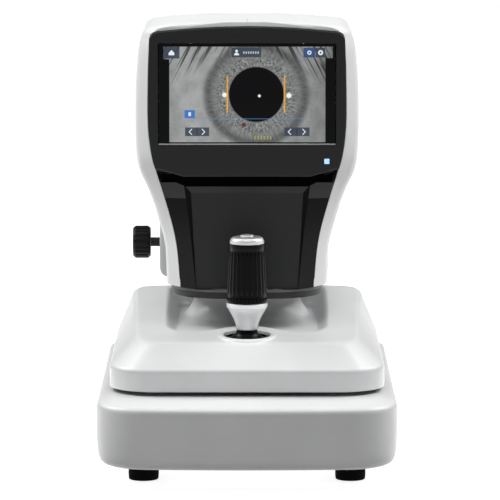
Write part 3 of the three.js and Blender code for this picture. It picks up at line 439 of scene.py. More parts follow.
@dataclass(frozen=True)
class EyePicture:
    """The live picture on the screen: a generic grey eye with plain controls round it."""

    name: str
    centre: Point
    half_width: float = 77.0
    half_height: float = 43.4
    pupil: tuple[float, float] = (7.6, 0.0)
    pupil_radius: float = 25.1
    iris_radius: float = 47.5
    night: Colour = (0.0015, 0.0015, 0.0018)
    glare: Colour = (0.95, 0.95, 0.95)

    def material(self) -> bpy.types.Material:
        """Builds the material."""
        shader = Shader(self.name)
        u, _, v = shader.xyz(self.centre)
        picture = self._eye(shader, u, v)
        picture = self._controls(shader, u, v, picture)
        inside = self._box(u, v, -self.half_width, self.half_width, -self.half_height,
                           self.half_height, 0.25)
        smear = shader.noise(22.0, 3.0)
        return shader.finish(
            Base_Color=(0.004, 0.004, 0.005),
            Roughness=smear * 0.05 + 0.16,
            Specular_IOR_Level=0.1,
            Emission_Color=shader.mix(inside, (0.0018, 0.0018, 0.002), picture),
            Emission_Strength=1.0,
        )

    @staticmethod
    def _box(u: Value, v: Value, u0: float, u1: float, v0: float, v1: float,
             soft: float = 0.3) -> Value:
        """A filled rectangle.

        Args:
            u: distance across.
            v: distance up.
            u0: left edge.
            u1: right edge.
            v0: lower edge.
            v1: upper edge.
            soft: the width of its edge.

        Returns:
            1 inside and 0 outside.
        """
        wide = (u - (u0 + u1) / 2).size() - (u1 - u0) / 2
        tall = (v - (v0 + v1) / 2).size() - (v1 - v0) / 2
        return wide.at_least(tall).step(soft, -soft)

    @staticmethod
    def _disc(u: Value, v: Value, cu: float, cv: float, radius: float,
              soft: float = 0.3) -> Value:
        """A filled circle, 1 inside and 0 outside, with an edge this soft."""
        du, dv = u - cu, v - cv
        return (du * du + dv * dv).root().step(radius + soft, radius - soft)

    def _eye(self, shader: Shader, u: Value, v: Value) -> bpy.types.NodeSocket:
        """Draws the eye.

        Args:
            shader: the material being built.
            u: distance across.
            v: distance up.

        Returns:
            The picture so far.
        """
        du, dv = u - self.pupil[0], v - self.pupil[1]
        reach = (du * du + dv * dv).root()
        turn = dv.angle(du)
        cloud = shader.noise(14.0, 4.0)
        fine = shader.noise(2.2, 5.0)
        ray_place = shader.node(
            "ShaderNodeCombineXYZ", {}, {0: turn * 9.0, 1: reach * 0.05, 2: 0.0}
        )
        rays = shader.node(
            "ShaderNodeTexNoise", {},
            {"Vector": ray_place, "Scale": 2.4, "Detail": 5.0, "Roughness": 0.65},
        )
        fibres = Value(shader, rays.outputs[0])
        speckle = shader.noise(1.6, 2.0)
        ruff = (reach - 30.0).size().step(9.0, 1.0)
        iris = (fibres - 0.5) * 0.34 + (speckle - 0.5) * (ruff * 0.5 + 0.12) + 0.2
        left = u.step(20.0, -70.0)
        white = (cloud - 0.5) * 0.3 + (fine - 0.5) * 0.1 + left * 0.1 + 0.27
        lash_place = shader.node(
            "ShaderNodeCombineXYZ", {},
            {0: u * 0.3 + v * 0.16 * u.step(-1.0, 1.0) - v * 0.16 * u.step(1.0, -1.0),
             1: v * 0.012, 2: 3.0},
        )
        lash_noise = shader.node(
            "ShaderNodeTexNoise", {}, {"Vector": lash_place, "Scale": 1.5, "Detail": 2.0}
        )
        lashes = Value(shader, lash_noise.outputs[0]).step(0.5, 0.62)
        corner = (u.size() * 0.6 + v * 1.2).step(46.0, 72.0)
        blend = reach.step(self.iris_radius + 3.0, self.iris_radius - 4.0)
        limbus = (reach - self.iris_radius + 3.0).size().step(7.0, 0.5)
        edge = (u.size() / self.half_width) ** 6.0
        tone = white * (1.0 - blend) + iris * blend
        tone = tone * (1.0 - limbus * 0.42) * (1.0 - lashes * corner * 0.8) * (1.0 - edge * 0.35)
        hole = reach.step(self.pupil_radius + 0.7, self.pupil_radius - 0.7)
        grey = tone.at_least(0.0).at_most(1.0)
        paint = shader.mix(grey, (0.0, 0.0, 0.0), (0.97, 1.0, 1.0))
        paint = shader.mix(hole, paint, self.night)
        glint = self._disc(u, v, 10.3, -1.3, 1.2, 0.5)
        side_glints = self._disc(u, v, -21.4, -0.4, 2.1, 0.9).at_least(
            self._disc(u, v, 37.2, -1.0, 2.3, 0.9)
        )
        paint = shader.mix(side_glints * 0.95, paint, self.glare)
        return shader.mix(glint, paint, self.glare)

    def _controls(
        self, shader: Shader, u: Value, v: Value, paint: bpy.types.NodeSocket
    ) -> bpy.types.NodeSocket:
        """Draws plain buttons, marks and bars over the eye.

        Args:
            shader: the material being built.
            u: distance across.
            v: distance up.
            paint: the picture so far.

        Returns:
            The finished picture.
        """
        slate, blue, pale = (0.045, 0.06, 0.085), (0.03, 0.17, 0.55), (0.8, 0.85, 0.9)
        deep = (0.03, 0.075, 0.2)
        orange, red, olive = (0.85, 0.4, 0.01), (0.14, 0.012, 0.02), (0.42, 0.4, 0.04)
        boxes = [
            (-77.0, -62.3, 32.6, 43.4, slate), (-15.0, 12.0, 33.8, 42.6, slate),
            (50.4, 61.2, 33.6, 42.4, deep), (61.6, 70.2, 33.6, 42.4, slate),
            (-57.8, -48.4, -21.6, -14.2, blue), (-57.3, -35.4, -37.9, -30.0, slate),
            (33.2, 56.0, -37.9, -30.0, slate), (-5.4, -2.0, -29.2, -26.0, red),
        ]
        for u0, u1, v0, v1, colour in boxes:
            paint = shader.mix(self._box(u, v, u0, u1, v0, v1) * 0.93, paint, colour)
        for cu in (-18.8, 33.2):
            paint = shader.mix(self._box(u, v, cu - 0.6, cu + 0.6, -16.4, 16.8, 0.2), paint, orange)
        line = self._box(u, v, -48.4, 56.0, -22.4, -21.9, 0.25) * 0.6
        paint = shader.mix(line, paint, (0.12, 0.3, 0.6))
        for cu, way in ((-53.6, 1.0), (-39.4, -1.0), (36.6, 1.0), (52.2, -1.0)):
            slant = ((v + 34.0).size() - (u - cu) * way).size().step(0.75, 0.3)
            ends = sorted((cu - 0.5 * way, cu + 2.6 * way))
            window = self._box(u, v, ends[0], ends[1], -37.0, -31.0, 0.1)
            paint = shader.mix(slant * window, paint, pale)
        divider = self._box(u, v, -46.6, -46.1, -37.9, -30.0, 0.15).at_least(
            self._box(u, v, 44.4, 44.9, -37.9, -30.0, 0.15)
        )
        paint = shader.mix(divider, paint, (0.01, 0.012, 0.016))
        roof = ((u + 69.6).size() + (v - 37.8)).step(2.8, 2.2)
        home = roof * self._box(u, v, -72.2, -67.0, 35.6, 41.0, 0.1)
        head = self._disc(u, v, -10.4, 39.4, 1.2)
        shoulders = self._disc(u, v, -10.4, 35.6, 2.3) * v.step(35.4, 35.8)
        eye_mark = self._disc(u, v, 55.8, 38.0, 1.9) * (1.0 - self._disc(u, v, 55.8, 38.0, 0.9))
        gear = self._disc(u, v, 66.0, 38.0, 2.3) * (1.0 - self._disc(u, v, 66.0, 38.0, 0.9))
        dashes = self._box(u, v, -5.0, 10.0, 37.0, 39.0, 0.2) * (u * 2.9).sine().step(-0.5, 0.1)
        square = self._box(u, v, -54.2, -52.0, -19.6, -16.2, 0.2)
        for mark in (home, head, shoulders, eye_mark, gear, dashes * 0.6, square):
            paint = shader.mix(mark, paint, pale)
        bars = (u * 2.2).sine().step(0.0, 0.5) * self._box(u, v, 5.4, 22.0, -41.0, -37.9, 0.3)
        paint = shader.mix(bars * 0.75, paint, olive)
        strips = self._box(u, v, -90.0, -71.6, -50.0, 32.0, 0.2).at_least(
            self._box(u, v, 70.4, 90.0, -50.0, 33.0, 0.2)
        )
        return shader.mix(strips, paint, self.night)


WHITE_COVER = MouldedPlastic("white_cover", (0.80, 0.805, 0.81), 0.36, 0.4, 0.004, 0.15)
WHITE_METAL = MouldedPlastic("white_powder_coat", (0.80, 0.805, 0.81), 0.34, 0.8, 0.02)
BLACK_FASCIA = MouldedPlastic("black_fascia", (0.0125, 0.0128, 0.0135), 0.42, specular=0.35)
# A darker copy of the fascia's black for its sideways faces: painted shade. The panel grey below is the
# paler copy for its forward faces.
FACET_PAINTED_SHADE_BLACK = MouldedPlastic("fascia_sides_painted_shade", (0.0045, 0.0046, 0.005), 0.5, specular=0.08)
PANEL_GREY = MouldedPlastic("fascia_panel", (0.0165, 0.017, 0.0175), 0.5, specular=0.3)
# Near-black and all but matt: a painted shadow in the gap under the screen bezel.
GROOVE_PAINTED_SHADOW = MouldedPlastic("groove_painted_shadow", (0.0008, 0.0008, 0.0009), 0.9, specular=0.02)
BLACK_GLOSS = MouldedPlastic("black_bezel", (0.009, 0.0092, 0.0098), 0.36, depth=0.003,
                             specular=0.3)
GRIP_BLACK = MouldedPlastic("grip_black", (0.0008, 0.0008, 0.0009), 0.3, 0.5, specular=0.1)
KNOB_BLACK = MouldedPlastic("knob_black", (0.003, 0.003, 0.0032), 0.4, 0.5, specular=0.18)
SKIRT_GREY = MouldedPlastic("skirt_grey", (0.024, 0.0245, 0.025), 0.45, specular=0.3)
# A pale strip at the foot of the screen window: a painted highlight.
WINDOW_LIP_PAINTED_HIGHLIGHT = MouldedPlastic("painted_highlight_edge", (0.75, 0.75, 0.76), 0.3)
# A paler band on the top edge of the head's dark skirt: a painted highlight.
SKIRT_LIP_PAINTED_HIGHLIGHT = MouldedPlastic("skirt_lip_painted_highlight", (0.16, 0.16, 0.16), 0.45, specular=0.3)
PAINTED_BLACK = MouldedPlastic("painted_block", (0.02, 0.02, 0.021), 0.5, 0.9, 0.02)
SILVER = Metal("silver_trim", (0.74, 0.745, 0.75), 0.5, (1.0, 1.0, 14.0), 0.002)
STEEL = Metal("ground_steel", (0.5, 0.51, 0.52), 0.3, (10.0, 1.0, 1.0))
MILLED = Metal("milled_aluminium", (0.62, 0.63, 0.64), 0.34, (1.0, 9.0, 1.0))
BLACKED = Metal("blackened_steel", (0.035, 0.035, 0.037), 0.4, (10.0, 1.0, 1.0))
BRASS = Metal("brass_nut", (0.62, 0.44, 0.18), 0.3, (1.0, 1.0, 9.0))
RUBBER = SoftRubber("black_rubber", (0.0025, 0.0025, 0.0025), 0.85, specular=0.08)
SILICONE = SoftRubber("silicone_pad", (0.62, 0.65, 0.67), 0.55, 0.01)
STATUS_BLUE = Glowing("status_blue", (0.24, 0.5, 1.0), 1.2)
RING_LIGHT = Glowing("ring_light", (0.8, 0.86, 0.9), 0.35)


class Paintbox:
    """Makes each finish's material once."""

    def __init__(self) -> None:
        """Starts with no materials."""
        self._made: dict[str, bpy.types.Material] = {}

    def of(self, finish: object) -> bpy.types.Material:
        """The material of a finish.

        Args:
            finish: any finish with a name and a material method.

        Returns:
            The material, made the first time it is asked for.
        """
        if finish.name not in self._made:
            self._made[finish.name] = finish.material()
        return self._made[finish.name]


PAINT = Paintbox()


# ------------------------------------------------------------------ mesh helpers


def smooth_by_angle(mesh: bpy.types.Mesh, degrees: float = SHARP_ANGLE) -> None:
    """Shades a mesh smooth but for the edges that turn by more than some degrees."""
    mesh.polygons.foreach_set("use_smooth", [True] * len(mesh.polygons))
    mesh.set_sharp_from_angle(angle=math.radians(degrees))


def make_object(
    name: str, points: Sequence[Point], faces: Sequence[Sequence[int]],
    degrees: float = SHARP_ANGLE,
) -> bpy.types.Object:
    """Makes a mesh object from millimetres.

    Args:
        name: the object's name.
        points: its vertices in millimetres.
        faces: its faces.
        degrees: edges that turn by more than this stay sharp.

    Returns:
        The object, with doubles merged and faces pointing outwards.
    """
    mesh = bpy.data.meshes.new(name)
    mesh.from_pydata([tuple(c * MM for c in p) for p in points], [], faces)
    edit = bmesh.new()
    edit.from_mesh(mesh)
    bmesh.ops.remove_doubles(edit, verts=edit.verts, dist=1e-6)
    bmesh.ops.dissolve_degenerate(edit, edges=edit.edges, dist=1e-7)
    bmesh.ops.recalc_face_normals(edit, faces=edit.faces)
    edit.to_mesh(mesh)
    edit.free()
    smooth_by_angle(mesh, degrees)
    made = bpy.data.objects.new(name, mesh)
    bpy.context.collection.objects.link(made)
    return made


def loft(
    name: str, rings: Sequence[Ring], closed: bool = False, degrees: float = SHARP_ANGLE
) -> bpy.types.Object:
    """Joins rings of points into a solid.

    Args:
        name: the object's name.
        rings: rings with the same number of points each.
        closed: whether the last ring joins the first, in place of two end caps.
        degrees: edges that turn by more than this stay sharp.

    Returns:
        The object.
    """
    count = len(rings[0])
    points = [p for ring in rings for p in ring]
    faces: list[list[int]] = []
    spans = len(rings) if closed else len(rings) - 1
    for r in range(spans):
        s = (r + 1) % len(rings)
        for i in range(count):
            j = (i + 1) % count
            faces.append([r * count + i, r * count + j, s * count + j, s * count + i])
    if not closed:
        for first in (0, (len(rings) - 1) * count):
            ring = points[first:first + count]
            points.append(tuple(sum(p[k] for p in ring) / count for k in range(3)))
            centre = len(points) - 1
            faces += [[centre, first + i, first + (i + 1) % count] for i in range(count)]
    return make_object(name, points, faces, degrees)


def rounded(rails: Sequence[Ring], radii: Sequence[float], steps: int = 4) -> list[Ring]:
    """Rounds the corners where a surface turns at each of its rails.

    Args:
        rails: rings that the surface passes through, all with the same number of points.
        radii: how far from each rail its corner is rounded, 0 for a sharp one.
        steps: faces across each rounded corner.

    Returns:
        More rings, which follow the rails and their rounded corners.
    """
    rings: list[Ring] = []
    last = len(rails) - 1
    for index, (rail, radius) in enumerate(zip(rails, radii)):
        if index in (0, last) or radius <= 0:
            rings.append(list(rail))
            continue
        corner: list[Ring] = [[] for _ in range(steps + 1)]
        for before, here, after in zip(rails[index - 1], rail, rails[index + 1]):
            at = Vector(here)
            legs = []
            for other in (before, after):
                leg = Vector(other) - at
                reach = min(radius, leg.length * 0.49)
                legs.append(at + leg.normalized() * reach if leg.length else at)
            for step in range(steps + 1):
                t = step / steps
                bent = legs[0] * (1 - t) ** 2 + at * (2 * t * (1 - t)) + legs[1] * t**2
                corner[step].append(tuple(bent))
        rings += corner
    return rings


def rounded_plan(
    half: float, front: float, rear: float, radius: float, height: float | Callable,
    bow: float = 0.0, corner: int = 8, along: int = 10,
) -> Ring:
    """A rounded rectangle in plan.

    Args:
        half: half its width.
        front: its front edge's y.
        rear: its rear edge's y.
        radius: its corners' radius.
        height: its z, or a function of x and y that gives it.
        bow: how far the front edge bulges.
        corner: faces round each corner.
        along: faces along each side.

    Returns:
        The ring, from the front right corner anticlockwise.
    """
    centres = [(half - radius, front + radius), (half - radius, rear - radius),
               (radius - half, rear - radius), (radius - half, front + radius)]
    flat: list[tuple[float, float]] = []
    for index, (cx, cy) in enumerate(centres):
        for step in range(corner + 1):
            angle = math.radians(90 * (index - 1) + 90 * step / corner)
            flat.append((cx + radius * math.cos(angle), cy + radius * math.sin(angle)))
        nx, ny = centres[(index + 1) % 4]
        turn = math.radians(90 * index)
        sx, sy = flat[-1]
        ex, ey = nx + radius * math.cos(turn), ny + radius * math.sin(turn)
        for step in range(1, along):
            t = step / along
            flat.append((sx + (ex - sx) * t, sy + (ey - sy) * t))
    ring = []
    for x, y in flat:
        share = max(0.0, 1 - (x / half) ** 2) if y < (front + rear) / 2 else 0.0
        moved = y - bow * share
        ring.append((x, moved, height(x, moved) if callable(height) else height))
    return ring


def turned(
    name: str, profile: Outline, centre: Point, axis: Axis = Axis.Z,
    sides: int = 64,
) -> bpy.types.Object:
    """Turns a profile about an axis.

    Args:
        name: the object's name.
        profile: points of radius and height. It starts and ends on the axis, or meets itself.
        centre: a point on the axis, from which heights are counted.
        axis: the axis's direction.
        sides: faces round the axis.

    Returns:
        The object.
    """
    order = {Axis.X: (2, 0, 1), Axis.Y: (1, 2, 0), Axis.Z: (0, 1, 2)}[axis]
    points: list[Point] = []
    for radius, height in profile:
        for side in range(sides):
            angle = 2 * math.pi * side / sides
            local = (radius * math.cos(angle), radius * math.sin(angle), height)
            points.append(tuple(local[k] + o for k, o in zip(order, centre)))
    faces = []
    for r in range(len(profile) - 1):
        for side in range(sides):
            after = (side + 1) % sides
            faces.append([r * sides + side, r * sides + after, (r + 1) * sides + after,
                          (r + 1) * sides + side])
    return make_object(name, points, faces)


def soft_profile(corners: Sequence[Point], steps: int = 4) -> Outline:
    """Rounds the corners of a profile.

    Args:
        corners: points of radius, height and rounding.
        steps: faces across each rounded corner.

    Returns:
        The rounded profile.
    """
    rails = [[(r, h, 0.0)] for r, h, _ in corners]
    rings = rounded(rails, [c[2] for c in corners], steps)
    return [(ring[0][0], ring[0][1]) for ring in rings]


def extruded(
    name: str, outline: Outline, axis: Axis, low: float, high: float
) -> bpy.types.Object:
    """Extrudes an outline along an axis.

    Args:
        name: the object's name.
        outline: points in the plane across the axis, as (x, z) along Y, (y, z) along X
            and (x, y) along Z.
        axis: the axis.
        low: where it starts.
        high: where it ends.

    Returns:
        The object.
    """
    order = {Axis.X: (2, 0, 1), Axis.Y: (0, 2, 1), Axis.Z: (0, 1, 2)}[axis]
    count = len(outline)
    points = [tuple((a, b, h)[k] for k in order) for h in (low, high) for a, b in outline]
    faces = [list(range(count)), list(range(count, 2 * count))]
    faces += [[i, (i + 1) % count, count + (i + 1) % count, count + i] for i in range(count)]
    return make_object(name, points, faces)


def mirrored(front: Outline, back: Outline) -> Outline:
    """A band's outline from its right half: the front from left to right, then the back."""
    points = [(-x, y) for x, y in reversed(front)] + front + back
    return points + [(-x, y) for x, y in reversed(back)]


def round_rect(
    u0: float, u1: float, v0: float, v1: float, radius: float, steps: int = 6
) -> Outline:
    """A rounded rectangle's outline.

    Args:
        u0: left edge.
        u1: right edge.
        v0: lower edge.
        v1: upper edge.
        radius: its corners' radius.
        steps: faces round each corner.

    Returns:
        Its points, anticlockwise.
    """
    outline = []
    centres = [(u1 - radius, v0 + radius), (u1 - radius, v1 - radius),
               (u0 + radius, v1 - radius), (u0 + radius, v0 + radius)]
    for index, (cu, cv) in enumerate(centres):
        for step in range(steps + 1):
            angle = math.radians(90 * (index - 1) + 90 * step / steps)
            outline.append((cu + radius * math.cos(angle), cv + radius * math.sin(angle)))
    return outline


def evaluated(piece: bpy.types.Object, degrees: float) -> bpy.types.Object:
    """Turns a piece with its modifiers into a plain mesh.

    Args:
        piece: the piece.
        degrees: edges that turn by more than this stay sharp.

    Returns:
        The same piece, with no modifiers.
    """
    bpy.context.view_layer.update()
    graph = bpy.context.evaluated_depsgraph_get()
    mesh = bpy.data.meshes.new_from_object(piece.evaluated_get(graph), depsgraph=graph)
    piece.modifiers.clear()
    old = piece.data
    piece.data = mesh
    bpy.data.meshes.remove(old)
    mesh.name = piece.name
    smooth_by_angle(mesh, degrees)
    return piece


def cut(piece: bpy.types.Object, cutter: bpy.types.Object, how: Cut = Cut.AWAY) -> None:
    """Cuts a piece with another, and uses the other up.

    Args:
        piece: the piece that is cut.
        cutter: the other piece.
        how: what the cutter does.
    """
    modifier = piece.modifiers.new("cut", "BOOLEAN")
    modifier.operation = how.value
    modifier.object = cutter
    modifier.solver = "EXACT"
    evaluated(piece, SHARP_ANGLE)
    bpy.data.objects.remove(cutter)


def bevelled(
    piece: bpy.types.Object, width: float, segments: int, angle: float = 30.0,
    degrees: float = BEVELLED_SHARP_ANGLE,
) -> bpy.types.Object:
    """Rounds a piece's edges.

    Args:
        piece: the piece.
        width: the rounding's width in millimetres.
        segments: faces across it.
        angle: edges that turn by less than this are left alone.
        degrees: edges that turn by more than this stay sharp afterwards.

    Returns:
        The piece.
    """
    modifier = piece.modifiers.new("bevel", "BEVEL")
    modifier.width = width * MM
    modifier.segments = segments
    modifier.limit_method = "ANGLE"
    modifier.angle_limit = math.radians(angle)
    modifier.use_clamp_overlap = True
    return evaluated(piece, degrees)


def joined(name: str, pieces: Sequence[bpy.types.Object]) -> bpy.types.Object:
    """Puts several meshes in one object.

    Args:
        name: the new object's name.
        pieces: the objects, which are used up.

    Returns:
        The joined object.
    """
    edit = bmesh.new()
    for piece in pieces:
        edit.from_mesh(piece.data)
    mesh = bpy.data.meshes.new(name)
    edit.to_mesh(mesh)
    edit.free()
    for piece in pieces:
        bpy.data.objects.remove(piece)
    smooth_by_angle(mesh)
    made = bpy.data.objects.new(name, mesh)
    bpy.context.collection.objects.link(made)
    return made


def swept(name: str, path: Sequence[Point], radius: float, sides: int) -> bpy.types.Object:
    """Sweeps a circle along a path in a plane of constant y.

    Args:
        name: the object's name.
        path: the points of its middle line.
        radius: its radius.
        sides: faces round it.

    Returns:
        The object.
    """
    side = Vector((0.0, 1.0, 0.0))
    rings = []
    for index, point in enumerate(path):
        before = Vector(path[max(index - 1, 0)])
        after = Vector(path[min(index + 1, len(path) - 1)])
        other = (after - before).normalized().cross(side)
        ring = []
        for step in range(sides):
            angle = 2 * math.pi * step / sides
            offset = side * (radius * math.cos(angle)) + other * (radius * math.sin(angle))
            ring.append(tuple(Vector(point) + offset))
        rings.append(ring)
    return loft(name, rings)


def spline(points: Sequence[Point], steps: int) -> list[Point]:
    """A smooth line through points.

    Args:
        points: the points.
        steps: pieces between each two.

    Returns:
        The smooth line's points.
    """
    ends = [points[0], *points, points[-1]]
    line: list[Point] = []
    for i in range(len(points) - 1):
        p0, p1, p2, p3 = (Vector(ends[i + k]) for k in range(4))
        for step in range(steps):
            t = step / steps
            value = (
                p1 * 2 + (p2 - p0) * t + (p0 * 2 - p1 * 5 + p2 * 4 - p3) * t**2
                + (p1 * 3 - p0 - p2 * 3 + p3) * t**3
            ) * 0.5
            line.append(tuple(value))
    line.append(tuple(points[-1]))
    return line


def dress(piece: bpy.types.Object, finish: object, body: str, slot: str, *nodes: str) -> None:
    """Gives a piece its material and its place in the frame.

    Args:
        piece: the piece.
        finish: its finish.
        body: the CAD body it moves with.
        slot: the record's material slot it belongs to. Not used.
        nodes: the CAD nodes it stands for.
    """
    piece.data.materials.clear()
    piece.data.materials.append(PAINT.of(finish))
    normals = piece.modifiers.new("even_normals", "WEIGHTED_NORMAL")
    normals.keep_sharp = True
    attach(piece, body)
    if nodes:
        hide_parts(*nodes)
    LOG.info("%s rides on %s", piece.name, body)


def paint_nodes(finish: object, *names: str) -> None:
    """Gives CAD nodes a finish in place of their own.

    Args:
        finish: the finish.
        names: the nodes' names.
    """
    for name in names:
        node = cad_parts[name]
        node.data.materials.clear()
        node.data.materials.append(PAINT.of(finish))
        LOG.info("%s keeps its shape", name)


# ------------------------------------------------------------------ repeated details


class Detail(Enum):
    """What a geometry tree repeats."""

    SCREW = "screw"
    RIB = "rib"


@dataclass
class Repeater:
    """Geometry trees that copy a small shape on to points."""

    screw_sides: int = 24
    screw_taper: float = 0.88
    key_sides: int = 6
    rib_points: int = 17
    rib_sides: int = 10
    seed: int = 7
    _trees: dict[Detail, bpy.types.NodeTree] = field(default_factory=dict)

    def _tree(self, detail: Detail) -> bpy.types.NodeTree:
        """The tree of a detail.

        Args:
            detail: what it repeats.

        Returns:
            The tree, made the first time it is asked for.
        """
        if detail in self._trees:
            return self._trees[detail]
        tree = bpy.data.node_groups.new(f"repeat_{detail.value}", "GeometryNodeTree")
        sockets = {
            "Points": "Geometry", "Radius": "Float", "Height": "Float", "Bore": "Float",
            "Lean": "Vector", "Loose Turn": "Vector", "Seed": "Int", "Finish": "Material",
        }
        face = tree.interface
        for name, kind in sockets.items():
            face.new_socket(name, in_out="INPUT", socket_type=f"NodeSocket{kind}")
        face.new_socket("Geometry", in_out="OUTPUT", socket_type="NodeSocketGeometry")
        inputs = tree.nodes.new("NodeGroupInput")
        output = tree.nodes.new("NodeGroupOutput")
        given = inputs.outputs
        if detail is Detail.SCREW:
            shape, pose = self._screw(tree, given), {"axis": "Z"}
        else:
            shape, pose = self._rib(tree, given), {"axis": "X", "pivot_axis": "Z"}
        facing = add_node(tree, "GeometryNodeInputNamedAttribute",
                          {"data_type": "FLOAT_VECTOR"}, {"Name": "facing"})
        align = add_node(tree, "FunctionNodeAlignRotationToVector", pose,
                         {"Vector": facing.outputs["Attribute"]})
        local = {"rotation_space": "LOCAL"}
        leaned = add_node(tree, "FunctionNodeRotateRotation", local,
                          {"Rotation": align, "Rotate By": given["Lean"]})
        chance = add_node(tree, "FunctionNodeRandomValue", {"data_type": "FLOAT_VECTOR"},
                          {0: (0.0, 0.0, 0.0), 1: given["Loose Turn"], "Seed": given["Seed"]})
        turn = add_node(tree, "FunctionNodeRotateRotation", local,
                        {"Rotation": leaned, "Rotate By": chance})
        spread = add_node(tree, "GeometryNodeInstanceOnPoints", {},
                          {"Points": given["Points"], "Instance": shape, "Rotation": turn})
        realize = add_node(tree, "GeometryNodeRealizeInstances", {}, {0: spread})
        painted = add_node(tree, "GeometryNodeSetMaterial", {},
                           {"Geometry": realize, "Material": given["Finish"]})
        tree.links.new(painted.outputs[0], output.inputs[0])
        self._trees[detail] = tree
        return tree

    @staticmethod
    def _number(
        tree: bpy.types.NodeTree, operation: str, *operands: object
    ) -> bpy.types.NodeSocket:
        """Adds one Math node to a tree, for numbers or sockets, and gives its result."""
        settings = {"operation": operation}
        return add_node(tree, "ShaderNodeMath", settings, dict(enumerate(operands))).outputs[0]

    def _screw(
        self, tree: bpy.types.NodeTree, given: bpy.types.NodeOutputs
    ) -> bpy.types.NodeSocket:
        """A screw head with a hexagon socket.

        Args:
            tree: the tree.
            given: the tree's inputs.

        Returns:
            The screw's geometry.
        """
        radius, height = given["Radius"], given["Height"]
        narrower = self._number(tree, "MULTIPLY", radius, self.screw_taper)
        head = add_node(tree, "GeometryNodeMeshCone", {}, {
            "Vertices": self.screw_sides, "Radius Bottom": radius, "Radius Top": narrower,
            "Depth": height})
        key = add_node(tree, "GeometryNodeMeshCylinder", {},
                       {"Vertices": self.key_sides, "Radius": given["Bore"], "Depth": height})
        place = add_node(tree, "ShaderNodeCombineXYZ", {}, {2: height})
        lift = add_node(tree, "GeometryNodeTransform", {},
                        {"Geometry": key, "Translation": place})
        socket = add_node(tree, "GeometryNodeMeshBoolean", {"operation": "DIFFERENCE"},
                          {0: head, 1: lift})
        return socket.outputs[0]

    def _rib(self, tree: bpy.types.NodeTree, given: bpy.types.NodeOutputs) -> bpy.types.NodeSocket:
        """A straight upright rib with rounded ends.

        Args:
            tree: the tree.
            given: the tree's inputs.

        Returns:
            The rib's geometry.
        """
        line = add_node(tree, "GeometryNodeCurvePrimitiveLine", {},
                        {"Start": (0.0, 0.0, -1.0), "End": (0.0, 0.0, 1.0)})
        fine = add_node(tree, "GeometryNodeResampleCurve", {},
                        {"Count": self.rib_points, "Curve": line})
        along = add_node(tree, "GeometryNodeSplineParameter", {}, {})
        middle = self._number(tree, "MULTIPLY_ADD", along.outputs["Factor"], 2.0, -1.0)
        blunt = self._number(tree, "POWER", self._number(tree, "ABSOLUTE", middle), 14.0)
        width = self._number(tree, "SQRT", self._number(tree, "SUBTRACT", 1.02, blunt))
        circle = add_node(tree, "GeometryNodeCurvePrimitiveCircle", {},
                          {"Resolution": self.rib_sides, "Radius": 1.0})
        bar = add_node(tree, "GeometryNodeCurveToMesh", {}, {
            "Curve": fine, "Profile Curve": circle, "Scale": width, "Fill Caps": True})
        size = add_node(tree, "ShaderNodeCombineXYZ", {},
                        {0: given["Bore"], 1: given["Radius"], 2: given["Height"]})
        stretch = add_node(tree, "GeometryNodeTransform", {}, {"Geometry": bar, "Scale": size})
        return stretch.outputs[0]

    def screws(
        self, name: str, places: Sequence[tuple[Point, Point]], radius: float, height: float,
        bore: float, body: str,
    ) -> None:
        """Adds steel screws to a body, each turned its own way, sized in millimetres."""
        made = self.repeat(name, Detail.SCREW, places, radius, height, bore, STEEL, 1.0)
        dress(made, STEEL, body, "steel")

    def repeat(
        self, name: str, detail: Detail, places: Sequence[tuple[Point, Point]], radius: float,
        height: float, bore: float, finish: object, loose: float = 0.0, lean: float = 0.0,
    ) -> bpy.types.Object:
        """Copies a detail on to places.

        Args:
            name: the new object's name.
            detail: what is repeated.
            places: pairs of a place in millimetres and the direction it faces.
            radius: a screw's radius, or half a rib's width.
            height: a screw's height, or half a rib's length.
            bore: a screw's socket radius, or how far a rib stands out.
            finish: the finish.
            loose: the largest turn that each copy has about its own axis, in radians.
            lean: how far each copy leans outwards, in radians.

        Returns:
            The copies in one plain mesh.
        """
        mesh = bpy.data.meshes.new(name)
        mesh.from_pydata([tuple(c * MM for c in place) for place, _ in places], [], [])
        facing = mesh.attributes.new("facing", "FLOAT_VECTOR", "POINT")
        facing.data.foreach_set("vector", [c for _, way in places for c in way])
        made = bpy.data.objects.new(name, mesh)
        bpy.context.collection.objects.link(made)
        modifier = made.modifiers.new("repeat", "NODES")
        modifier.node_group = self._tree(detail)
        sizes = {
            "Radius": radius * MM, "Height": height * MM, "Bore": bore * MM, "Seed": self.seed,
            "Lean": (0.0, lean, 0.0), "Loose Turn": (0.0, 0.0, loose), "Finish": PAINT.of(finish),
        }
        for item in modifier.node_group.interface.items_tree:
            if item.in_out == "INPUT" and item.name in sizes:
                modifier[item.identifier] = sizes[item.name]
        return evaluated(made, REPEATED_SHARP_ANGLE)


REPEAT = Repeater()


def around(
    centre: Point, radius: float, count: int, axis: Axis = Axis.Z
) -> list[tuple[Point, Point]]:
    """Places round a circle, each facing outwards.

    Args:
        centre: the circle's centre.
        radius: its radius.
        count: how many places there are.
        axis: the circle's axis, Y or Z.

    Returns:
        Pairs of a place and its outward direction.
    """
    places = []
    for index in range(count):
        angle = 2 * math.pi * index / count
        a, b = math.cos(angle), math.sin(angle)
        way = (a, b, 0.0) if axis is Axis.Z else (a, 0.0, b)
        places.append((tuple(c + radius * w for c, w in zip(centre, way)), way))
    return places


# ------------------------------------------------------------------ assemblies


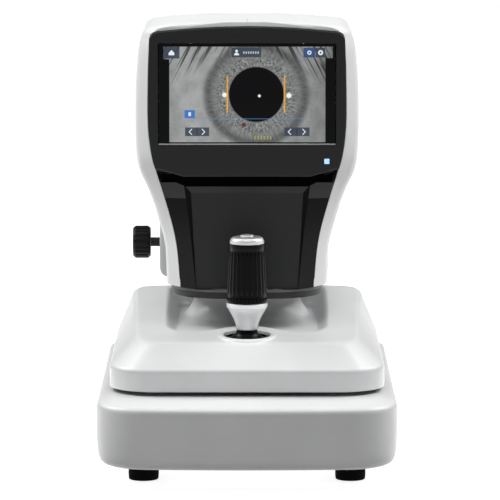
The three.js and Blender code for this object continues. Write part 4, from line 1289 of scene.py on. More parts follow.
@dataclass
class BaseAssembly:
    """The fixed base: a hollow moulding over a floor plate, on four rubber feet."""

    half: float = 134.5
    front: float = -228.0
    rear: float = 190.0
    bottom: float = 19.0
    top: float = 76.0
    corner: float = 42.0
    bow: float = 6.8
    wall: float = 3.0
    opening: tuple[float, float, float] = (72.0, -132.0, 92.0)
    foot_radius: float = 13.8
    foot_x: float = 93.0
    foot_y: tuple[float, float] = (-160.0, 122.0)

    def build(self) -> None:
        """Builds and dresses every piece of the base."""
        self._shell()
        self._feet()
        paint_nodes(WHITE_METAL, "base_plate")
        self._plate_screws()

    def _ring(self, inset: float, height: float) -> Ring:
        """The base's outline in plan at a height, inset from its outer face."""
        return rounded_plan(self.half - inset, self.front + inset, self.rear - inset,
                            self.corner - inset, height, self.bow, 10, 14)

    def _deck(self, height: float) -> Ring:
        """The outline of the opening in the deck, at a height."""
        return rounded_plan(*self.opening, 8.0, height, 0.0, 10, 14)

    def _shell(self) -> None:
        """Builds the hollow moulding with its deck opening, door opening and inlet opening."""
        wall, top, bottom = self.wall, self.top, self.bottom
        rails = [
            self._ring(12.0, bottom), self._ring(5.5, bottom + 1.4), self._ring(1.6, bottom + 7.0),
            self._ring(0.0, bottom + 24.0), self._ring(0.0, top),
            self._deck(top), self._deck(top - wall),
            self._ring(wall + 6.0, top - wall), self._ring(wall + 1.0, bottom + 20.0),
            self._ring(wall + 5.0, bottom + 3.4), self._ring(14.6, bottom + 0.6),
        ]
        radii = [0.0, 3.0, 7.0, 12.0, 7.6, 1.0, 0.6, 5.0, 6.0, 3.0, 0.0]
        shell = loft("base_shell_skin", rounded(rails, radii, 6), closed=True)
        door = extruded("door_cut", round_rect(-70.6, 10.6, 28.2, 67.6, 4.0), Axis.X, 122.0, 140.0)
        cut(shell, door)
        inlet = extruded("inlet_cut", round_rect(65.7, 124.3, 32.7, 59.3, 2.0), Axis.X, -140.0, -124.0)
        cut(shell, inlet)
        dress(shell, WHITE_COVER, "base", "white_cover", "base_shell")

    def _feet(self) -> None:
        """Builds four turned rubber feet."""
        for side, x in (("left", -self.foot_x), ("right", self.foot_x)):
            for end, y in zip(("front", "rear"), self.foot_y):
                radius, height = self.foot_radius, self.bottom
                profile = soft_profile(
                    [(0.0, 0.6, 0), (radius - 3.4, 0.6, 0.3), (radius - 2.6, 0.0, 0.5),
                     (radius - 0.5, 0.0, 1.2), (radius, 6.0, 2.0), (radius - 1.0, height, 0.8),
                     (0.0, height, 0)], 4)
                foot = turned(f"{end}_{side}_foot", profile, (x, y, 0.0), sides=48)
                dress(foot, RUBBER, "base", "black_rubber", f"foot_{end}_{side}")

    def _plate_screws(self) -> None:
        """Adds the screws that hold the floor plate."""
        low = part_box("base_plate")[0].z / MM
        spots = [(x, y) for x in (-88.0, 0.0, 88.0) for y in (-122.0, -20.0, 84.0)]
        places = [((x, y, low + 0.05), (0.0, 0.0, -1.0)) for x, y in spots]
        REPEAT.screws("base_plate_screws", places, 3.4, 1.2, 1.6, "base")


@dataclass
class StageDrive:
    """The cross slide under the carriage, and the lift inside it. They keep their CAD shapes."""

    milled: tuple[str, ...] = ("cross_plate", "carriage_plate", "stage_bed", "optics_plate",
                               "lift_slide", "lift_column")
    blocks: tuple[str, ...] = ("y_block_left", "y_block_right", "x_block_front", "x_block_rear")
    rails: tuple[str, ...] = ("y_rail_left", "y_rail_right", "x_rail_front", "x_rail_rear",
                              "lift_screw")

    def build(self) -> None:
        """Dresses the slide's and lift's pieces."""
        paint_nodes(MILLED, *self.milled)
        paint_nodes(STEEL, *self.rails)
        paint_nodes(PAINTED_BLACK, *self.blocks, "lift_motor", "camera_module", "lcd_module",
                    "lens_barrel")
        paint_nodes(BRASS, "gimbal_ring")
        paint_nodes(BLACKED, "chin_pinion")
        self._rail_screws()

    def _rail_screws(self) -> None:
        """Adds the screws along the lower rails."""
        places = []
        for name in ("y_rail_left", "y_rail_right"):
            low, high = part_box(name)
            x = (low.x + high.x) / 2 / MM
            for index in range(5):
                y = (low.y + (high.y - low.y) * (index + 0.5) / 5) / MM
                places.append(((x, y, high.z / MM - 0.02), (0.0, 0.0, 1.0)))
        REPEAT.screws("rail_screws", places, 2.4, 0.8, 1.1, "base")


@dataclass
class CarriageAssembly:
    """The moving white cover: a skirt, a plateau, a sunken dish and the neck's pedestal."""

    half: float = 124.5
    front: float = -168.0
    rear: float = 118.0
    bottom: float = 80.0
    skirt: float = 99.0
    corner: float = 42.0
    plateau: tuple[float, float, float, float] = (109.0, -139.0, 92.0, 25.0)
    narrowing: float = 0.1
    plateau_height: float = 120.0
    slope: float = 0.0952
    dish_half: float = 73.0
    dish_rear: float = 104.4
    dish_floor: float = 121.5
    lobe_front: float = -102.0
    stick_y: float = -110.0
    peninsula: float = 36.0
    pedestal_y: float = 48.0
    pedestal_radius: float = 49.0
    pedestal_top: float = 184.0
    wall: float = 3.0
    corner_steps: int = 12
    side_steps: int = 26

    def build(self) -> None:
        """Builds the cover and its boss."""
        self._cover()
        self._boss()

    def _plan(self, half: float, front: float, rear: float, corner: float,
              height: float | Callable) -> Ring:
        """A rounded rectangle in plan, with this cover's number of points."""
        return rounded_plan(half, front, rear, corner, height, 0.0, self.corner_steps,
                            self.side_steps)

    def top_height(self, x: float, y: float) -> float:
        """The cover's z at a point of the plateau or of the slope behind it."""
        _, front, rear, _ = self.plateau
        crest = self.plateau_height + (rear - front) * self.slope
        fall = (crest - self.skirt) / (self.rear - rear)
        level = self.plateau_height + (min(y, rear) - front) * self.slope
        return level - max(0.0, y - rear) * fall

    def _edge(self, inset: float, drop: float) -> Ring:
        """The plateau's outline, narrower in front than behind.

        Args:
            inset: how far inside the plateau's edge it is.
            drop: how far below the plateau it is.

        Returns:
            The outline.
        """
        half, front, rear, corner = self.plateau
        ring = self._plan(half - inset, front + inset, rear - inset, corner - inset, 0.0)
        edge = []
        for x, y, _ in ring:
            across = x * (1.0 - self.narrowing * (rear - y) / (rear - front))
            share = min(1.0, max(0.0, (78.0 - abs(across)) / 20.0)) if y > rear - 8.0 else 0.0
            smooth = share * share * (3.0 - 2.0 * share)
            along = y + (self.dish_rear + 0.8 - inset * 0.5 - y) * smooth
            edge.append((across, along, self.top_height(across, along) - drop))
        return edge

    def _dish(self, inset: float, height: float | Callable) -> Ring:
        """The dish's kidney outline, which bends round the stick.

        Args:
            inset: how far inside the dish's edge it is.
            height: its z, or a function that gives it.

        Returns:
            The outline.
        """
        ring = self._plan(self.dish_half - inset, self.lobe_front + inset,
                          self.dish_rear - inset * 0.1, 34.0 - inset, 0.0)
        reach = self.peninsula + inset
        bent = []
        for x, y, _ in ring:
            if y < self.stick_y + reach + 20.0 and abs(x) < reach + 16.0:
                share = min(1.0, abs(x) / (reach + 16.0))
                edge = self.stick_y + reach + 4.0
                lift = 0.5 + 0.5 * math.cos(math.pi * share)
                y = y + (edge - y) * lift**0.8 if y < edge else y
            bent.append((x, y, height(x, y) if callable(height) else height))
        return bent

    def _neck(self, radius: float, height: float) -> Ring:
        """A circle round the pedestal's axis, matched to the outlines' points.

        Args:
            radius: its radius.
            height: its z.

        Returns:
            The circle.
        """
        ring = self._plan(self.dish_half, self.lobe_front, self.dish_rear, 34.0, 0.0)
        circle = []
        middle = (self.lobe_front + self.dish_rear) / 2
        for x, y, _ in ring:
            angle = math.atan2(y - middle, x)
            reach = self.pedestal_y + radius * math.sin(angle)
            circle.append((radius * math.cos(angle), min(reach, self.dish_rear - 1.6), height))
        return circle

    def _cover(self) -> None:
        """Builds the cover as one closed wall, then bores it for the stick."""
        wall, top, floor, flare = self.wall, self.top_height, self.dish_floor, self.pedestal_radius
        inside = (self.half - wall, self.front + wall, self.rear - wall, self.corner - wall)
        rails = [
            self._plan(self.half, self.front, self.rear, self.corner, self.bottom),
            self._plan(self.half, self.front, self.rear, self.corner, self.skirt),
            self._edge(0.0, 0.0),
            self._dish(0.0, top),
            self._dish(7.0, floor),
            self._neck(flare + 9.0, floor),
            self._neck(flare, floor + 14.0),
            self._neck(flare, self.pedestal_top),
            self._neck(flare - wall, self.pedestal_top),
            self._neck(flare - wall, floor - wall),
            self._dish(10.0 - wall, floor - wall),
            self._dish(-wall, lambda x, y: top(x, y) - wall),
            self._edge(2.0, wall + 0.2),
            self._plan(*inside, self.skirt - 1.0),
            self._plan(*inside, self.bottom),
        ]
        radii = [0, 3.0, 4.0, 5.0, 6.0, 9.0, 8.0, 1.0, 0.6, 3.0, 2.0, 2.0, 2.0, 2.0, 0]
        cover = loft("carriage_cover_skin", rounded(rails, radii, 5), closed=True)
        bore = turned("stick_bore", [(0, 90), (26, 90), (26, 140), (0, 140)],
                      (0.0, self.stick_y, 0.0), sides=72)
        cut(cover, bore)
        dress(cover, WHITE_COVER, "carriage", "white_cover", "carriage_cover")

    def _boss(self) -> None:
        """Builds the low boss round the stick's hole, level with the plateau behind it."""
        profile = soft_profile([
            (21.3, 120.8, 0), (21.3, 123.8, 0.9), (25.8, 123.8, 1.5), (28.4, 120.8, 0),
            (21.3, 120.8, 0),
        ])
        boss = turned("stick_boss", profile, (0.0, self.stick_y, 0.0), sides=72)
        for vertex in boss.data.vertices:
            vertex.co.z += 0.6 * self.slope * (vertex.co.y - self.stick_y * MM)
        dress(boss, WHITE_COVER, "carriage", "white_cover", "carriage_cover")


def softened(node: str, name: str, width: float, segments: int = 2) -> bpy.types.Object:
    """Makes a piece in a CAD node's shape with its edges rounded.

    Args:
        node: the node's name.
        name: the new piece's name.
        width: the rounding's width in millimetres.
        segments: faces across it.

    Returns:
        The piece.
    """
    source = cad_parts[node].data
    points = [tuple(c / MM for c in v.co) for v in source.vertices]
    made = make_object(name, points, [list(p.vertices) for p in source.polygons])
    edit = bmesh.new()
    edit.from_mesh(made.data)
    flat = math.radians(0.5)
    bmesh.ops.dissolve_limit(edit, angle_limit=flat, verts=edit.verts, edges=edit.edges)
    edit.to_mesh(made.data)
    edit.free()
    return bevelled(made, width, segments, SOFTENED_EDGE_ANGLE)


def block(name: str, low: Point, high: Point) -> bpy.types.Object:
    """A plain box between its lowest and its highest corner."""
    outline = [(low[0], low[1]), (high[0], low[1]), (high[0], high[1]), (low[0], high[1])]
    return extruded(name, outline, Axis.Z, low[2], high[2])


def share_of(whole: bpy.types.Object, name: str, low: Point, high: Point) -> bpy.types.Object:
    """Copies what lies of a piece between two corners.

    Args:
        whole: the piece, which stays.
        name: the copy's name.
        low: the lowest corner.
        high: the highest corner.

    Returns:
        The copy.
    """
    made = whole.copy()
    made.data = whole.data.copy()
    made.name = name
    bpy.context.collection.objects.link(made)
    cut(made, block("kept_space", low, high), Cut.KEEP)
    return made


@dataclass
class Joystick:
    """The stick: dust shield, silver collar, fluted grip, cap and trigger."""

    y: float = -110.0
    pivot: float = 85.0
    shield_radius: float = 39.6
    grip_bottom: float = 153.5
    grip_top: float = 207.0
    radius_bottom: float = 18.6
    radius_top: float = 16.0
    flutes: int = 24
    bumps: int = 32

    def _turned(self, name: str, profile: Outline, sides: int = 72) -> bpy.types.Object:
        """Turns a profile about the stick's axis, with heights from the floor."""
        return turned(name, profile, (0.0, self.y, 0.0), sides=sides)

    def build(self) -> None:
        """Builds and dresses every piece of the stick."""
        paint_nodes(STEEL, "stick_stem")
        self._shield()
        self._collar()
        self._grip()
        self._cap()

    def _shield(self) -> None:
        """Builds the black dust shield, a dome that flares from the stem."""
        outer, inner = self.shield_radius, self.shield_radius - 1.8
        dome = [(outer * math.sin(math.radians(a)), self.pivot + outer * math.cos(math.radians(a)))
                for a in range(50, 19, -3)]
        under = [(inner * math.sin(math.radians(a)), self.pivot + inner * math.cos(math.radians(a)))
                 for a in range(8, 51, 3)]
        neck = soft_profile([(13.2, self.pivot + outer - 2.4, 0), (10.6, self.pivot + outer - 0.4, 1.6),
                             (9.2, self.pivot + outer + 3.6, 0), (5.4, self.pivot + outer + 3.6, 0)])
        profile = dome + neck + under + [dome[0]]
        shield = self._turned("dust_shield", profile)
        dress(shield, GRIP_BLACK, "stick", "grip_black", "stick_shield")

    def _collar(self) -> None:
        """Builds the silver collar that widens up to the grip."""
        low, high = self.pivot + self.shield_radius + 3.9, self.grip_bottom - 0.3
        profile = soft_profile([
            (5.4, low, 0), (9.4, low, 0.5), (10.4, low + 5.0, 3.0), (12.6, low + 11.0, 5.0),
            (17.4, high - 5.6, 2.4), (17.6, high - 4.6, 0.3), (18.5, high - 4.2, 0.4),
            (18.6, high, 0.5), (5.4, high, 0), (5.4, low, 0),
        ], 5)
        collar = self._turned("silver_collar", profile)
        dress(collar, SILVER, "stick", "silver_trim", "stick_collar")

    def _grip(self) -> None:
        """Builds the grip's core, with its flutes and its row of bumps."""
        bottom, top = self.grip_bottom, self.grip_top
        big, small, depth = self.radius_bottom, self.radius_top, 1.0
        profile = soft_profile([
            (5.6, bottom, 0), (big - 1.0, bottom, 0.5), (big - 0.4, bottom + 1.0, 0.5),
            (big - depth, bottom + 5.6, 0.6), (small - depth + 0.6, top - 5.6, 0.8),
            (small, top - 3.6, 0.8), (small, top, 0.5), (5.6, top, 0), (5.6, bottom, 0),
        ])
        core = self._turned("grip_core", profile, 96)
        dress(core, GRIP_BLACK, "grip", "grip_black", "stick_grip")
        taper = math.atan((big - small) / (top - bottom))
        middle = (bottom + top) / 2 + 0.6
        reach = (big + small) / 2 - depth - 0.25
        places = around((0.0, self.y, middle), reach, self.flutes)
        flutes = REPEAT.repeat("grip_flutes", Detail.RIB, places, 1.45, 21.2, 1.15, GRIP_BLACK,
                               lean=-taper)
        dress(flutes, GRIP_BLACK, "grip", "grip_black")
        ring = around((0.0, self.y, bottom + 3.4), big - 0.75, self.bumps)
        bumps = REPEAT.repeat("grip_bumps", Detail.RIB, ring, 0.85, 1.3, 0.75, GRIP_BLACK)
        dress(bumps, GRIP_BLACK, "grip", "grip_black")

    def _cap(self) -> None:
        """Builds the silver cap and the trigger button in it."""
        low = self.grip_top + 0.3
        cap = self._turned("silver_cap", soft_profile([
            (3.4, low, 0), (15.6, low, 0.4), (15.3, low + 3.2, 1.0), (13.4, low + 5.8, 1.6),
            (8.2, low + 6.2, 0.8), (6.9, low + 5.4, 0.3), (6.9, low + 2.0, 0), (3.4, low + 2.0, 0),
            (3.4, low, 0),
        ], 5))
        dress(cap, SILVER, "grip", "silver_trim", "grip_cap")
        button = self._turned("silver_button", soft_profile([
            (0.0, low + 4.4, 0), (6.4, low + 4.4, 0.2), (6.4, 214.6, 1.2), (4.2, 215.3, 1.4),
            (0.0, 215.6, 0),
        ], 5), 48)
        dress(button, SILVER, "trigger", "silver_trim", "trigger_button")


@dataclass(frozen=True)
class Station:
    """One level of the head: where its section's corners are."""

    z: float
    side: float
    side_y: float
    edge: float
    edge_y: float
    panel: float
    panel_y: float
    rear: float


HEAD_LEVELS = [
    Station(159, 74.6, -28, 61.4, -50, 47, -66, 108),
    Station(190, 75.5, -30, 63.9, -52, 50, -66, 108),
    Station(205, 78, -32, 66, -53, 51.5, -66, 109),
    Station(219, 82, -34, 69, -55, 53, -66, 111),
    Station(234, 86, -38, 73, -58, 55, -66, 115),
    Station(249, 91.4, -43, 77.2, -63, 57, -66, 120),
    Station(268, 99.2, -52, 82.6, -72, 60, -76, 125),
    Station(285, 101.7, -58, 87.3, -79, 62, -82, 125),
    Station(312, 102.3, -62, 90.2, -82, 62, -84, 125),
    Station(349, 101.7, -61, 90.2, -80, 62, -82, 125),
    Station(377, 99.6, -59, 89.4, -78, 62, -80, 123),
    Station(390, 97, -58, 87, -77, 62, -79, 118),
    Station(398, 92.5, -60, 84, -77, 60, -78.5, 95),
    Station(402, 80, -66, 70, -77, 50, -78, 72),
    Station(405.5, 40, -70, 32, -76, 20, -77, 50),
]


def stations(steps: int) -> list[Station]:
    """The head's levels with smooth ones between them.

    Args:
        steps: levels between each two.

    Returns:
        The levels, lowest first.
    """
    rows = [(s.z, s.side, s.side_y) for s in HEAD_LEVELS]
    edges = [(s.edge, s.edge_y, s.rear) for s in HEAD_LEVELS]
    panels = [(s.panel, s.panel_y, 0.0) for s in HEAD_LEVELS]
    smooth = [spline(line, steps) for line in (rows, edges, panels)]
    made = []
    for (z, side, side_y), (edge, edge_y, rear), (panel, panel_y, _) in zip(*smooth):
        made.append(Station(z, side, side_y, edge, edge_y, panel, panel_y, rear))
    return made


def bezel_outline(grow: float, low: float) -> Outline:
    """The dark front's outline from the front.

    Args:
        grow: how far outside the dark front it is.
        low: where it starts.

    Returns:
        Points of x and z, anticlockwise from the lower right.
    """
    right = [(61.4 + grow + max(0.0, (low - 159) * 0.08), low)]
    right += [(s.edge + grow, s.z) for s in stations(3) if low < s.z < 380]
    right += [(89.2 + grow, 387), (88.8 + grow, 391.0), (87.6 + grow, 394.0 + grow),
              (85.2 + grow, 396.0 + grow), (81 + grow, 397.0 + grow), (62, 398.9 + grow),
              (42, 400.4 + grow),
              (21, 401.4 + grow), (0, 401.8 + grow)]
    return right + [(-x, z) for x, z in reversed(right[:-1])]


@dataclass
class MeasuringHead:
    """The white head: two cover halves, the dark fascia, the skirt and the rear cover."""

    wall: float = 3.8
    bottom: float = 159.0
    seam: float = 0.3
    window: tuple[float, float, float, float] = (62.0, 236.0, 376.0, 20.0)
    fascia_top: float = 258.0
    groove_top: float = 265.4
    recess: float = 2.4
    inner_low: float = 46.8
    inner_high: float = 51.4
    chamfer_low: float = 247.7
    chamfer_high: float = 255.6
    seal_depth: float = 2.0

    def build(self) -> None:
        """Builds and dresses every piece of the head's casing."""
        self._covers()
        self._fascia()
        self._skirt()
        self._rear_cover()

    @staticmethod
    def _section(level: Station, inset: float, z: float) -> Ring:
        """One level's section.

        Args:
            level: the level.
            inset: how far inside the outer face it is.
            z: its height.

        Returns:
            The section's outline.
        """
        side, rear = level.side - inset, level.rear - inset
        corner = min(30.0, side * 0.4)
        half = [
            (0.0, level.panel_y + inset, 0.0),
            (level.panel - inset * 0.4, level.panel_y + inset, 1.5),
            (min(level.edge, side - 2) - inset * 0.5, level.edge_y + inset * 0.9, 2.0),
            (side, level.side_y - 1 + inset * 0.6, 8.0),
            (side, rear, corner),
            (0.0, rear, 0.0),
        ]
        rails = [[(x, y, z)] for x, y, _ in half]
        rings = rounded(rails, [r for _, _, r in half], 6)
        right = [ring[0] for ring in rings]
        return right + [(-x, y, h) for x, y, h in reversed(right[1:-1])]

    def _form(self, name: str, inset: float) -> bpy.types.Object:
        """The head's whole form.

        Args:
            name: the object's name.
            inset: how far inside the outer face it is.

        Returns:
            The solid.
        """
        rings = []
        for level in stations(4):
            drop = inset * min(1.0, max(0.0, (level.z - 380.0) / 16.0))
            if inset and level.z > 402.5:
                continue
            rings.append(self._section(level, inset, level.z - drop))
        if inset:
            rings.insert(0, [(x, y, self.bottom - 6.0) for x, y, _ in rings[0]])
        return loft(name, rings)

    def _covers(self) -> None:
        """Builds the two cover halves, which meet in a seam."""
        shell = self._form("head_shell", 0.0)
        cut(shell, self._form("head_hollow", self.wall))
        outline = bezel_outline(self.seam, self.bottom - 5.0)
        cut(shell, extruded("front_cut", outline, Axis.Y, -140.0, 0.0))
        half, low, high, corner = self.window
        opening = round_rect(-half, half, low, high, corner, 10)
        cut(shell, extruded("rear_cut", opening, Axis.Y, 100.0, 140.0))
        for side, sign in (("left", -1.0), ("right", 1.0)):
            ends = sorted((sign * self.seam / 2, sign * 150.0))
            cover = share_of(shell, f"{side}_head_cover", (ends[0], -150.0, 100.0),
                             (ends[1], 150.0, 450.0))
            bevelled(cover, 0.35, 2, 50.0)
            dress(cover, WHITE_COVER, "head", "white_cover", f"head_cover_{side}")
        bpy.data.objects.remove(shell)

    def _fascia_ring(self, level: Station) -> Ring:
        """One level of the dark fascia, front and back.

        Args:
            level: the level.

        Returns:
            The level's outline.
        """
        share = (level.z - self.bottom) / (self.chamfer_low - self.bottom)
        inner = self.inner_low + (self.inner_high - self.inner_low) * min(1.0, share)
        depth = self.recess
        outer = level.panel
        if level.z > self.chamfer_low:
            rise = min(1.0, (level.z - self.chamfer_low) / (self.chamfer_high - self.chamfer_low))
            depth *= 1 - rise
            inner += (outer - inner) * rise * 0.98
        front = -66.0
        right = [(inner, front + depth), (outer, front), (level.edge, level.edge_y)]
        back = [(level.edge - 2.6, level.edge_y + 3.0), (outer - 1.4, front + 3.2),
                (inner - 1.0, front + depth + 3.0)]
        return [(x, y, level.z) for x, y in mirrored(right, back)]

    def _fascia(self) -> None:
        """Builds the dark fascia with its sunken panel, its sideways faces in a darker painted-shade
        copy of its black, and the set-back strip above it, a near-black painted shadow under the bezel.
        """
        levels = [s for s in stations(8) if s.z < self.fascia_top - 0.5]
        last = min(stations(8), key=lambda s: abs(s.z - self.fascia_top))
        stops = [replace_height(levels, last, z)
                 for z in (self.chamfer_low, self.chamfer_high, self.fascia_top)]
        levels = [s for s in levels if all(abs(s.z - stop.z) > 0.8 for stop in stops)]
        levels = sorted(levels + stops, key=lambda s: s.z)
        fascia = loft("fascia_face", [self._fascia_ring(s) for s in levels], degrees=14.0)
        bevelled(fascia, 0.7, 3, 9.0, 30.0)
        # The set-back strip is near-black and all but matt: a painted shadow in the gap under the
        # bezel.
        strip = []
        for z in (self.fascia_top - 4.0, 262.0, self.groove_top):
            level = replace_height(HEAD_LEVELS, HEAD_LEVELS[-1], z)
            front = level.panel_y + self.seal_depth + 1.0
            side_y = level.edge_y + self.seal_depth + 1.5
            right = [(level.panel - 1.0, front), (level.edge - 3.0, side_y)]
            back = [(level.edge - 6.0, side_y + 3.0), (level.panel - 2.0, front + 3.0)]
            strip.append([(x, y, z) for x, y in mirrored(right, back)])
        groove = loft("groove_shadow_strip", strip)
        dress(groove, GROOVE_PAINTED_SHADOW, "head", "black_fascia", "lower_fascia")
        # Faces turned sideways take the darker copy of the black, a painted shade; faces turned
        # forwards take the paler panel grey.
        dress(fascia, FACET_PAINTED_SHADE_BLACK, "head", "black_fascia", "lower_fascia")
        fascia.data.materials.append(PAINT.of(PANEL_GREY))
        for face in fascia.data.polygons:
            face.material_index = 1 if abs(face.normal.x) < 0.25 else 0

    def _skirt(self) -> None:
        """Builds the dark skirt round the head's lower edge, with a paler lip on its top edge, a
        painted highlight.
        """
        def ring(grow: float, z: float) -> Ring:
            return rounded_plan(69.5 + grow, -67.0 - grow, 104.0 + grow, 48.0 + grow, z, 0.0, 16, 6)

        rails = [ring(-3.5, 150.0), ring(-1.2, 150.0), ring(0.0, 151.6), ring(0.0, 158.7),
                 ring(-3.5, 158.7)]
        skirt = loft("skirt_ring", rounded(rails, [0, 0.6, 0.8, 0.5, 0], 4), closed=True)
        dress(skirt, SKIRT_GREY, "head", "skirt_grey", "head_skirt")
        # The paler band along the skirt's top edge is a painted highlight.
        lips = [ring(0.15, 156.2), ring(0.9, 156.2), ring(0.9, 158.6), ring(0.15, 158.6)]
        lip = loft("skirt_painted_highlight_lip", rounded(lips, [0, 0.5, 0.5, 0], 4), closed=True)
        dress(lip, SKIRT_LIP_PAINTED_HIGHLIGHT, "head", "skirt_grey", "head_skirt")

    def _rear_cover(self) -> None:
        """Builds the rear cover with its vents and screws."""
        half, low, high, corner = self.window
        outline = round_rect(-half + 0.3, half - 0.3, low + 0.3, high - 0.3, corner, 10)
        cover = extruded("rear_plate", outline, Axis.Y, 117.5, 121.0)
        hole = turned("nose_hole", [(0, 90), (30, 90), (30, 160), (0, 160)], (0.0, 0.0, 306.0),
                      Axis.Y, 64)
        cut(cover, hole)
        for row in range(5):
            z = low + 11.0 + row * 5.0
            slit = extruded("slit", round_rect(-26.0, 26.0, z, z + 2.2, 1.0, 4), Axis.Y, 110.0, 130.0)
            cut(cover, slit)
        bevelled(cover, 0.5, 2, 50.0)
        dress(cover, BLACK_FASCIA, "head", "black_fascia", "rear_cover")
        places = [((x, 120.95, z), (0.0, 1.0, 0.0)) for x in (-50.0, 50.0)
                  for z in (low + 12.0, high - 12.0)]
        REPEAT.screws("rear_cover_screws", places, 2.7, 1.0, 1.3, "head")


def replace_height(levels: Sequence[Station], above: Station, z: float) -> Station:
    """A level between two others.

    Args:
        levels: known levels, lowest first.
        above: a level above them all.
        z: the height that is wanted.

    Returns:
        The level at that height.
    """
    known = [*levels, above]
    upper = next(s for s in known if s.z >= z)
    lower = [s for s in known if s.z < z][-1]
    share = (z - lower.z) / (upper.z - lower.z)
    pairs = zip(vars(lower).values(), vars(upper).values())
    return Station(*(a + (b - a) * share for a, b in pairs))


@dataclass
class Display:
    """The touch screen: a leaning bezel, the glass with its picture, and a status light."""

    bottom: float = 265.7
    front: float = -87.0
    thickness: float = 9.0
    lean: float = 0.05
    lean_about: float = 330.0
    half_width: float = 80.6
    screen_low: float = 295.0
    screen_high: float = 386.4
    glass_depth: float = 6.0
    light: tuple[float, float, float, float] = (70.3, 74.9, 277.4, 282.0)

    def build(self) -> None:
        """Builds and dresses every piece of the display."""
        self._bezel()
        self._lip()
        self._glass()
        self._status_light()

    def _lean(self, piece: bpy.types.Object) -> None:
        """Leans a piece as the whole display leans."""
        for vertex in piece.data.vertices:
            vertex.co.y += self.lean * (vertex.co.z - self.lean_about * MM)

    def _bezel(self) -> None:
        """Builds the bezel, with a window whose sides slope inwards."""
        front, back = self.front, self.front + self.thickness
        bezel = extruded("bezel_face", bezel_outline(-0.2, 240.0), Axis.Y, front, back)
        lower = [(-120.0, 273.9), (-80.0, 272.3), (-58.0, self.bottom), (58.0, self.bottom),
                 (80.0, 272.3), (120.0, 273.9), (120.0, 430.0), (-120.0, 430.0)]
        cut(bezel, extruded("lower_edge", lower, Axis.Y, front - 5, back + 5), Cut.KEEP)
        bevelled(bezel, 1.3, 4, 30.0)
        half, low, high = self.half_width, self.screen_low, self.screen_high
        rails = []
        for y, grow in ((front - 1.0, 0.6), (front + self.glass_depth, 0.0), (back + 2.0, 0.0)):
            outline = round_rect(-half - grow, half + grow, low - grow, high + grow, 1.2, 4)
            rails.append([(x, y, z) for x, z in outline])
        cut(bezel, loft("window_cut", rails))
        u0, u1, v0, v1 = self.light
        seat = extruded("light_seat", round_rect(u0 - 0.3, u1 + 0.3, v0 - 0.3, v1 + 0.3, 0.6, 3),
                        Axis.Y, front - 3.0, front + 1.6)
        cut(bezel, seat)
        bevelled(bezel, 0.3, 2, 50.0)
        self._lean(bezel)
        chin = block("bezel_chin", (-57.0, back - 6.0, self.bottom + 0.5),
                     (57.0, -70.0, self.bottom + 3.5))
        whole = joined("bezel_skin", [bezel, chin])
        dress(whole, BLACK_GLOSS, "head", "black_fascia", "screen_bezel")

    def _lip(self) -> None:
        """Builds a thin pale strip along the foot of the window, a painted highlight on its lower lip.
        """
        half, low, y0 = self.half_width + 0.1, self.screen_low, self.front + self.glass_depth
        # The strip's pale colour is a painted highlight where the window's lower lip catches the light.
        lip = block("window_lip_painted_highlight", (-half, y0 - 5.2, low - 0.25), (half, y0 - 0.3, low + 0.3))
        self._lean(lip)
        dress(lip, WINDOW_LIP_PAINTED_HIGHLIGHT, "head", "black_fascia", "screen_bezel")

    def _glass(self) -> None:
        """Builds the glass, which shows the live picture."""
        y0 = self.front + self.glass_depth
        half, low, high = self.half_width - 0.3, self.screen_low + 0.3, self.screen_high - 0.3
        glass = extruded("screen_face", round_rect(-half, half, low, high, 1.0, 4), Axis.Y, y0,
                         y0 + 1.6)
        bevelled(glass, 0.25, 2, 50.0)
        self._lean(glass)
        picture = EyePicture("screen_picture", (0.9, y0, 340.0))
        dress(glass, picture, "head", "screen_glass", "touch_glass")

    def _status_light(self) -> None:
        """Builds the small square status light."""
        u0, u1, v0, v1 = self.light
        light = extruded("status_window", round_rect(u0, u1, v0, v1, 0.5, 4), Axis.Y,
                         self.front - 0.4, self.front + 1.2)
        bevelled(light, 0.25, 2, 50.0)
        self._lean(light)
        dress(light, STATUS_BLUE, "head", "status_blue", "status_light")


@dataclass
class Optics:
    """The measuring nose on the patient's side, with its ring of light and its lens."""

    axis_z: float = 306.0
    back: float = 126.0
    front: float = 155.0
    bore: float = 27.0

    def build(self) -> None:
        """Builds and dresses the nose, the ring and the lens."""
        centre = (0.0, 0.0, self.axis_z)
        front, bore = self.front, self.bore
        nose = turned("nose_cone", soft_profile([
            (bore, self.back, 0), (47.0, self.back, 1.0), (47.0, self.back + 10.0, 4.0),
            (42.5, front - 2.0, 1.5), (40.0, front, 0.8), (bore + 3.0, front - 0.6, 1.0),
            (bore + 1.6, front - 6.0, 0.5), (bore, front - 6.0, 0.3), (bore, self.back, 0),
        ]), centre, Axis.Y, 80)
        dress(nose, BLACK_FASCIA, "head", "black_fascia", "objective_housing")
        face = front - 6.3
        ring = turned("light_ring", soft_profile([
            (19.6, face - 4.0, 0), (26.7, face - 4.0, 0), (26.7, face, 0.5), (19.6, face, 0.5),
            (19.6, face - 4.0, 0),
        ]), centre, Axis.Y, 64)
        dress(ring, RING_LIGHT, "head", "ring_light", "mire_ring")
        dome = [(19.2 * math.sin(a), face - 2.4 + 2.0 * math.cos(a))
                for a in (math.pi / 2 * (1 - i / 10) for i in range(11))]
        lens = turned("front_lens", [(0.0, face - 6.0), (19.2, face - 4.0), *dome], centre,
                      Axis.Y, 64)
        coating = CoatedLens("lens_coating", (0.0, face, self.axis_z), 19.2)
        dress(lens, coating, "head", "coated_lens", "objective_lens")
        places = around((0.0, face - 0.1, self.axis_z), 23.1, 24, Axis.Y)
        outward = [(place, (0.0, 1.0, 0.0)) for place, _ in places]
        lamps = REPEAT.repeat("ring_lamps", Detail.SCREW, outward, 1.1, 0.5, 0.5, SILVER)
        dress(lamps, SILVER, "head", "silver_trim")


